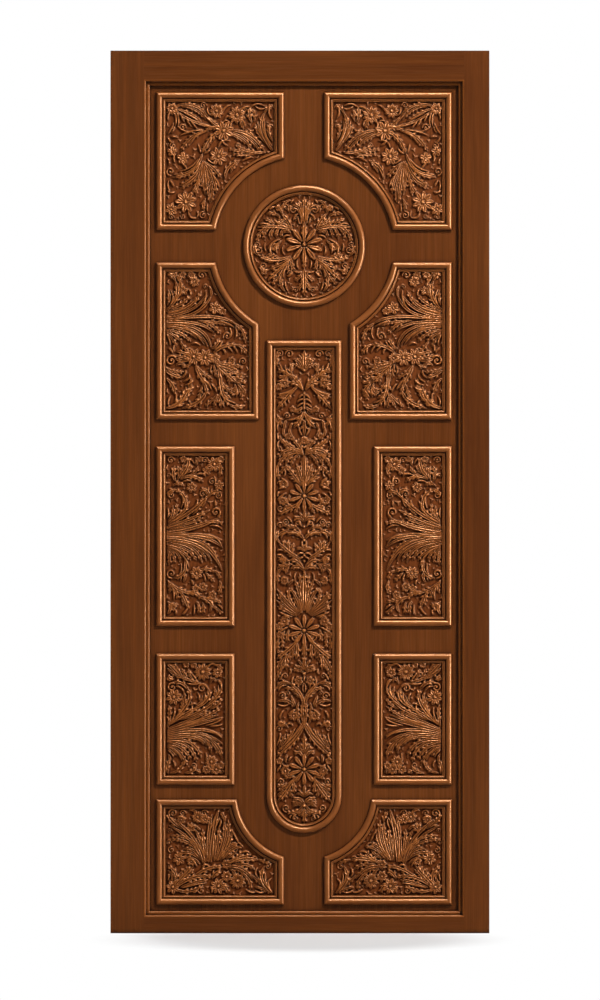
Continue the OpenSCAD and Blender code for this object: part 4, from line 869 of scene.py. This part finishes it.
def lay_strokes(relief, strokes):
    """All strokes of a design, with a vein along the broad ones."""
    for stroke in strokes:
        xs, ys, radii = stroke_line(stroke)
        relief.ridge(xs, ys, radii, RISE, 0.60 if stroke[6] > FLUTED_OVER else 0.0)


def lay_lobes(relief, strokes):
    """Small lobes that lean forward on the free edges of leaves of middle length."""
    lobes = []
    for stroke in strokes:
        xs, ys, _ = stroke_line(stroke)
        run = np.concatenate([[0], np.cumsum(np.hypot(np.diff(xs), np.diff(ys)))])
        length, width = run[-1], stroke[6] * GROW
        if not SHORTEST_LOBED < length < LONGEST_LOBED or stroke[6] < LOBED_FROM:
            continue
        for place in np.arange(length * 0.34, length * 0.92, width * 1.4):
            px, py = np.interp(place, run, xs), np.interp(place, run, ys)
            ux = np.interp(place + 1, run, xs) - np.interp(place - 1, run, xs)
            uy = np.interp(place + 1, run, ys) - np.interp(place - 1, run, ys)
            # Lobes get smaller towards the tip of the leaf
            size = width * (1 - 0.6 * place / length) / max(math.hypot(ux, uy), 1e-6)
            fx, fy = ux * size, uy * size
            for side in (1, -1):
                nx, ny = -uy * side * size, ux * side * size
                tip = (px + nx * 0.95 + fx * 0.95, py + ny * 0.95 + fy * 0.95)
                if relief.at(*tip) < BARE:
                    lobes.append(([px + nx * 0.20, px + nx * 0.65 + fx * 0.4, tip[0]],
                                  [py + ny * 0.20, py + ny * 0.65 + fy * 0.4, tip[1]],
                                  [width * 0.30, width * 0.40, width * 0.26]))
    for xs, ys, radii in lobes:
        relief.ridge(xs, ys, radii, RISE * 0.86)
    return len(lobes)


print("leaves rise", RISE, "mm over the ground")

# %% [markdown]
# ## Flowers, curls and fillings
#
# A flower is a ring of veined petals round a raised heart. A curl is a spiral that ends in a small knob.
# Ground that is still bare gets pairs of small bent leaves, as a carver fills the last gaps: random
# places are tried, the largest size first, and a place is used if the ground around it is bare.

# %% Flowers and curls
LARGE_FLOWER = 30
CREST = RISE * 1.1


def lay_flowers(relief, flowers):
    """Petals with a vein, round a heart. The large flowers have slim petals with ground between them."""
    for x, y, radius, petals in flowers:
        half = radius * math.pi / petals * (0.62 if radius > LARGE_FLOWER else 1)
        out = radius * np.array([0.25, 0.5, 0.78, 0.98])
        for turn in np.arange(petals) * 2 * math.pi / petals + 0.3:
            relief.ridge(x + out * math.cos(turn), y + out * math.sin(turn),
                         half * np.array([0.35, 0.65, 0.88, 0.55]), RISE * 0.92, 0.50)
        relief.knob(x, y, min(radius * 0.30, 6), CREST)


def lay_curls(relief, curls):
    """Spirals of 1.3 turns that end in a knob."""
    for x, y, radius, start, way in curls:
        t = np.linspace(0, 1, 20)
        turn = math.radians(start) + way * 2 * math.pi * 1.3 * t
        out = radius * (1 - 0.78 * t)
        relief.ridge(x + out * np.cos(turn), y + out * np.sin(turn),
                     radius * 0.30 * (1 - 0.35 * t), RISE * 0.9)
        relief.knob(x, y, radius * 0.28, RISE)


print("highest crest", CREST, "mm over the ground")

# %% Fillings
LEAFLET_SIZES = (10.5, 8.5, 6.8, 5.4, 4.2)
LEAFLET_MARGIN = 24
# Places tried for each size
TRIES = 700


def lay_leaflets(relief, inside, seed):
    """Pairs of small bent leaves on ground that is still bare."""
    dice = np.random.default_rng(seed)
    count = 0
    for size in LEAFLET_SIZES:
        near = max(1, int(size / relief.spacing))
        for _ in range(TRIES):
            x = dice.uniform(0 if relief.twin else relief.across[0], relief.across[-1])
            y = dice.uniform(relief.up[0], relief.up[-1])
            i, j = int((y - relief.up[0]) / relief.spacing), int((x - relief.across[0]) / relief.spacing)
            around = relief.height[max(0, i - near):i + near + 1, max(0, j - near):j + near + 1]
            if not inside(x, y, LEAFLET_MARGIN) or around.max() > BARE:
                continue
            turn = dice.uniform(0, 2 * math.pi)
            for lean in (0.45, -0.45):
                # Foot, belly and tip of one leaf, as angle and distance from the middle
                bends = ((turn, -0.8), (turn + lean, 0.1), (turn + lean * 2.6, 0.95))
                xs = [x + size * math.cos(angle) * out for angle, out in bends]
                ys = [y + size * math.sin(angle) * out for angle, out in bends]
                relief.ridge(xs, ys, [size * 0.16, size * 0.30, size * 0.08], RISE * 0.75)
            count += 1
    return count


def carve(relief, strokes, flowers, curls, beads, inside, seed):
    """Cuts one design, leaves first and fillings last. Returns how many lobes and leaflets it got."""
    lay_strokes(relief, strokes)
    lobes = lay_lobes(relief, strokes)
    lay_flowers(relief, flowers)
    lay_curls(relief, curls)
    for x, y, radius in beads:
        relief.knob(x, y, radius, CREST)
    return lobes, lay_leaflets(relief, inside, seed)


print("leaflets of", LEAFLET_SIZES, "mm")

# %% [markdown]
# ## From heights to a carved board
#
# A panel starts as a flat grid of faces. Each vertex is raised by its height, the faces beyond the
# panel's outline are deleted, and the rim is pulled back to the bottom of the pocket and closed, so the
# board has a real thickness. Its rim lies under the moulding.

# %% Boards
LEAF_AXIS = (leaf_low[0] + leaf_high[0]) / 2
# Y of the carved ground and of the boards' back, in millimetres
GROUND, BACK = -7.5, 0.4
# Depth below its neighbours at which a point gets the full painted shade
DEEPEST = 2.6


def blur(grid, steps):
    """A grid smoothed by averaging neighbours a number of times."""
    for _ in range(steps):
        total = grid + np.roll(grid, 1, 0) + np.roll(grid, -1, 0) + np.roll(grid, 1, 1) + np.roll(grid, -1, 1)
        grid = total / 5
    return grid


def carved_board(name, node, relief, inside, left, low, mirrored=False):
    """Makes one carved panel: left and low place its drawing on the door, in millimetres."""
    rows, cols = relief.height.shape
    # How deep each point sits below its neighbours, stored for the painted shade in the gaps
    deep = np.clip((blur(relief.height, 10) - relief.height) / DEEPEST, 0, 1)
    board = bmesh.new()
    bmesh.ops.create_grid(board, x_segments=cols - 1, y_segments=rows - 1, size=0.5)
    height_layer = board.verts.layers.float.new("height")
    gap_shade_layer = board.verts.layers.float.new("depth")
    gone = []
    for v in board.verts:
        i, j = round((v.co.y + 0.5) * (rows - 1)), round((v.co.x + 0.5) * (cols - 1))
        h = relief.height[i, j]
        v[height_layer], v[gap_shade_layer] = h / (RISE * 1.05), deep[i, j]
        x, y = relief.across[j], relief.up[i]
        if not inside(x, y):
            gone.append(v)
        side = LEAF_AXIS - (left + x) if mirrored else LEAF_AXIS + left + x
        v.co = (side * MM, (GROUND - h) * MM, (low + y) * MM)
    bmesh.ops.delete(board, geom=gone, context="VERTS")
    for f in board.faces:
        f.smooth = True
    rim = bmesh.ops.extrude_edge_only(board, edges=[e for e in board.edges if e.is_boundary])
    for v in rim["geom"]:
        if isinstance(v, bmesh.types.BMVert):
            v.co.y = BACK * MM
            v[height_layer], v[gap_shade_layer] = 0, 0
    bmesh.ops.edgenet_fill(board, edges=[e for e in board.edges if e.is_boundary])
    bmesh.ops.recalc_face_normals(board, faces=board.faces)
    mesh = bpy.data.meshes.new(name)
    board.to_mesh(mesh)
    board.free()
    mesh.materials.append(carving_with_painted_shade)
    piece = bpy.data.objects.new(name, mesh)
    bpy.context.scene.collection.objects.link(piece)
    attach(piece, "leaf")
    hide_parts(node)
    return piece


print("board thickness", BACK - GROUND, "mm under a relief of", RISE, "mm")

# %% [markdown]
# ## Side panels
#
# Five rows of panels stand left and right of the axis. Their sizes and places are those of the mouldings
# round them. The corner panels have a hollow corner: a circle round the medallion or round the foot of
# the centre panel is taken out of them. One relief serves both hands, and the right-hand board is its
# mirror image.

# %% Side panels
RIM = 15
SIDE_SPACING = 1.3
# Clear field round the medallion and the foot, and how far the lower hollows' middle lies over the foot's
MEDALLION_GAP, FOOT_GAP, FOOT_RISE = 69, 72, 8
medallion_low, medallion_high = box_mm("moulding_medallion")
centre_low, centre_high = box_mm("moulding_centre")
MEDALLION_RADIUS = (medallion_high[2] - medallion_low[2]) / 2
MEDALLION_MIDDLE = (medallion_low[2] + medallion_high[2]) / 2
CENTRE_HALF = (centre_high[0] - centre_low[0]) / 2
CENTRE_HEIGHT = centre_high[2] - centre_low[2]
SIDE_FAR = LEAF_AXIS - box_mm("moulding_top_left")[0][0]


def side_outline(width, tall, low, hollow):
    """A test for points of a side panel inside its rim.

    hollow is the circle that is taken out of its corner: its middle's height on the door and its radius."""
    def inside(x, y, rim=RIM):
        on = rim < x < width - rim and rim < y < tall - rim
        return on and (not hollow or math.hypot(x - SIDE_FAR, low + y - hollow[0]) > hollow[1] + rim)
    return inside


round_hollow = (MEDALLION_MIDDLE, MEDALLION_RADIUS + MEDALLION_GAP)
foot_hollow = (centre_low[2] + CENTRE_HALF + FOOT_RISE, CENTRE_HALF + FOOT_GAP)
side_panels = {
    "top": (TOP_STROKES, TOP_FLOWERS, TOP_CURLS, round_hollow),
    "upper": (UPPER_STROKES, UPPER_FLOWERS, UPPER_CURLS, round_hollow),
    "middle": (MIDDLE_STROKES, MIDDLE_FLOWERS, MIDDLE_CURLS, None),
    "lower": (LOWER_STROKES, LOWER_FLOWERS, LOWER_CURLS, None),
    "bottom": (BOTTOM_STROKES, BOTTOM_FLOWERS, BOTTOM_CURLS, foot_hollow),
}
for row, (strokes, flowers, curls, hollow) in side_panels.items():
    low, high = box_mm(f"moulding_{row}_left")
    width, tall = high[0] - low[0], high[2] - low[2]
    inside = side_outline(width, tall, low[2], hollow)
    relief = Relief(RIM, width - RIM, RIM, tall - RIM, SIDE_SPACING, False)
    lobes, leaflets = carve(relief, strokes, flowers, curls, [], inside, seed=3)
    for hand in ("left", "right"):
        piece = carved_board(f"carved_{row}_{hand}", f"carving_{row}_{hand}", relief, inside,
                             -SIDE_FAR, low[2], hand == "right")
    print(row, "lobes", lobes, "leaflets", leaflets, "faces", len(piece.data.polygons))

# %% [markdown]
# ## Medallion and centre panel
#
# These two stand on the leaf's axis, and every ridge in them has a twin on the other side. The medallion
# is drawn from its middle, the centre panel from the bottom of its round foot. The long panel has a
# slightly coarser grid, so that its mesh stays light.

# %% Medallion and centre panel
MEDALLION_SPACING, CENTRE_SPACING = 1.25, 1.4


def round_inside(x, y, rim=RIM):
    """A test for points of the medallion inside its rim."""
    return math.hypot(x, y) < MEDALLION_RADIUS - rim


def foot_inside(x, y, rim=RIM):
    """A test for points of the centre panel, with its round foot, inside its rim."""
    above_foot = y > CENTRE_HALF or math.hypot(x, y - CENTRE_HALF) < CENTRE_HALF - rim
    return abs(x) < CENTRE_HALF - rim and y < CENTRE_HEIGHT - rim and above_foot


reach, half = MEDALLION_RADIUS - RIM, CENTRE_HALF - RIM
axis_panels = {
    "medallion": (MEDALLION_STROKES, MEDALLION_FLOWERS, MEDALLION_CURLS, [], round_inside, MEDALLION_MIDDLE,
                  Relief(-reach, reach, -reach, reach, MEDALLION_SPACING, True)),
    "centre": (CENTRE_STROKES, CENTRE_FLOWERS, CENTRE_CURLS, CENTRE_BEADS, foot_inside, centre_low[2],
               Relief(-half, half, RIM, CENTRE_HEIGHT - RIM, CENTRE_SPACING, True)),
}
for row, (strokes, flowers, curls, beads, inside, low, relief) in axis_panels.items():
    lobes, leaflets = carve(relief, strokes, flowers, curls, beads, inside, seed=5)
    piece = carved_board(f"carved_{row}", f"carving_{row}", relief, inside, 0, low)
    print(row, "lobes", lobes, "leaflets", leaflets, "faces", len(piece.data.polygons))
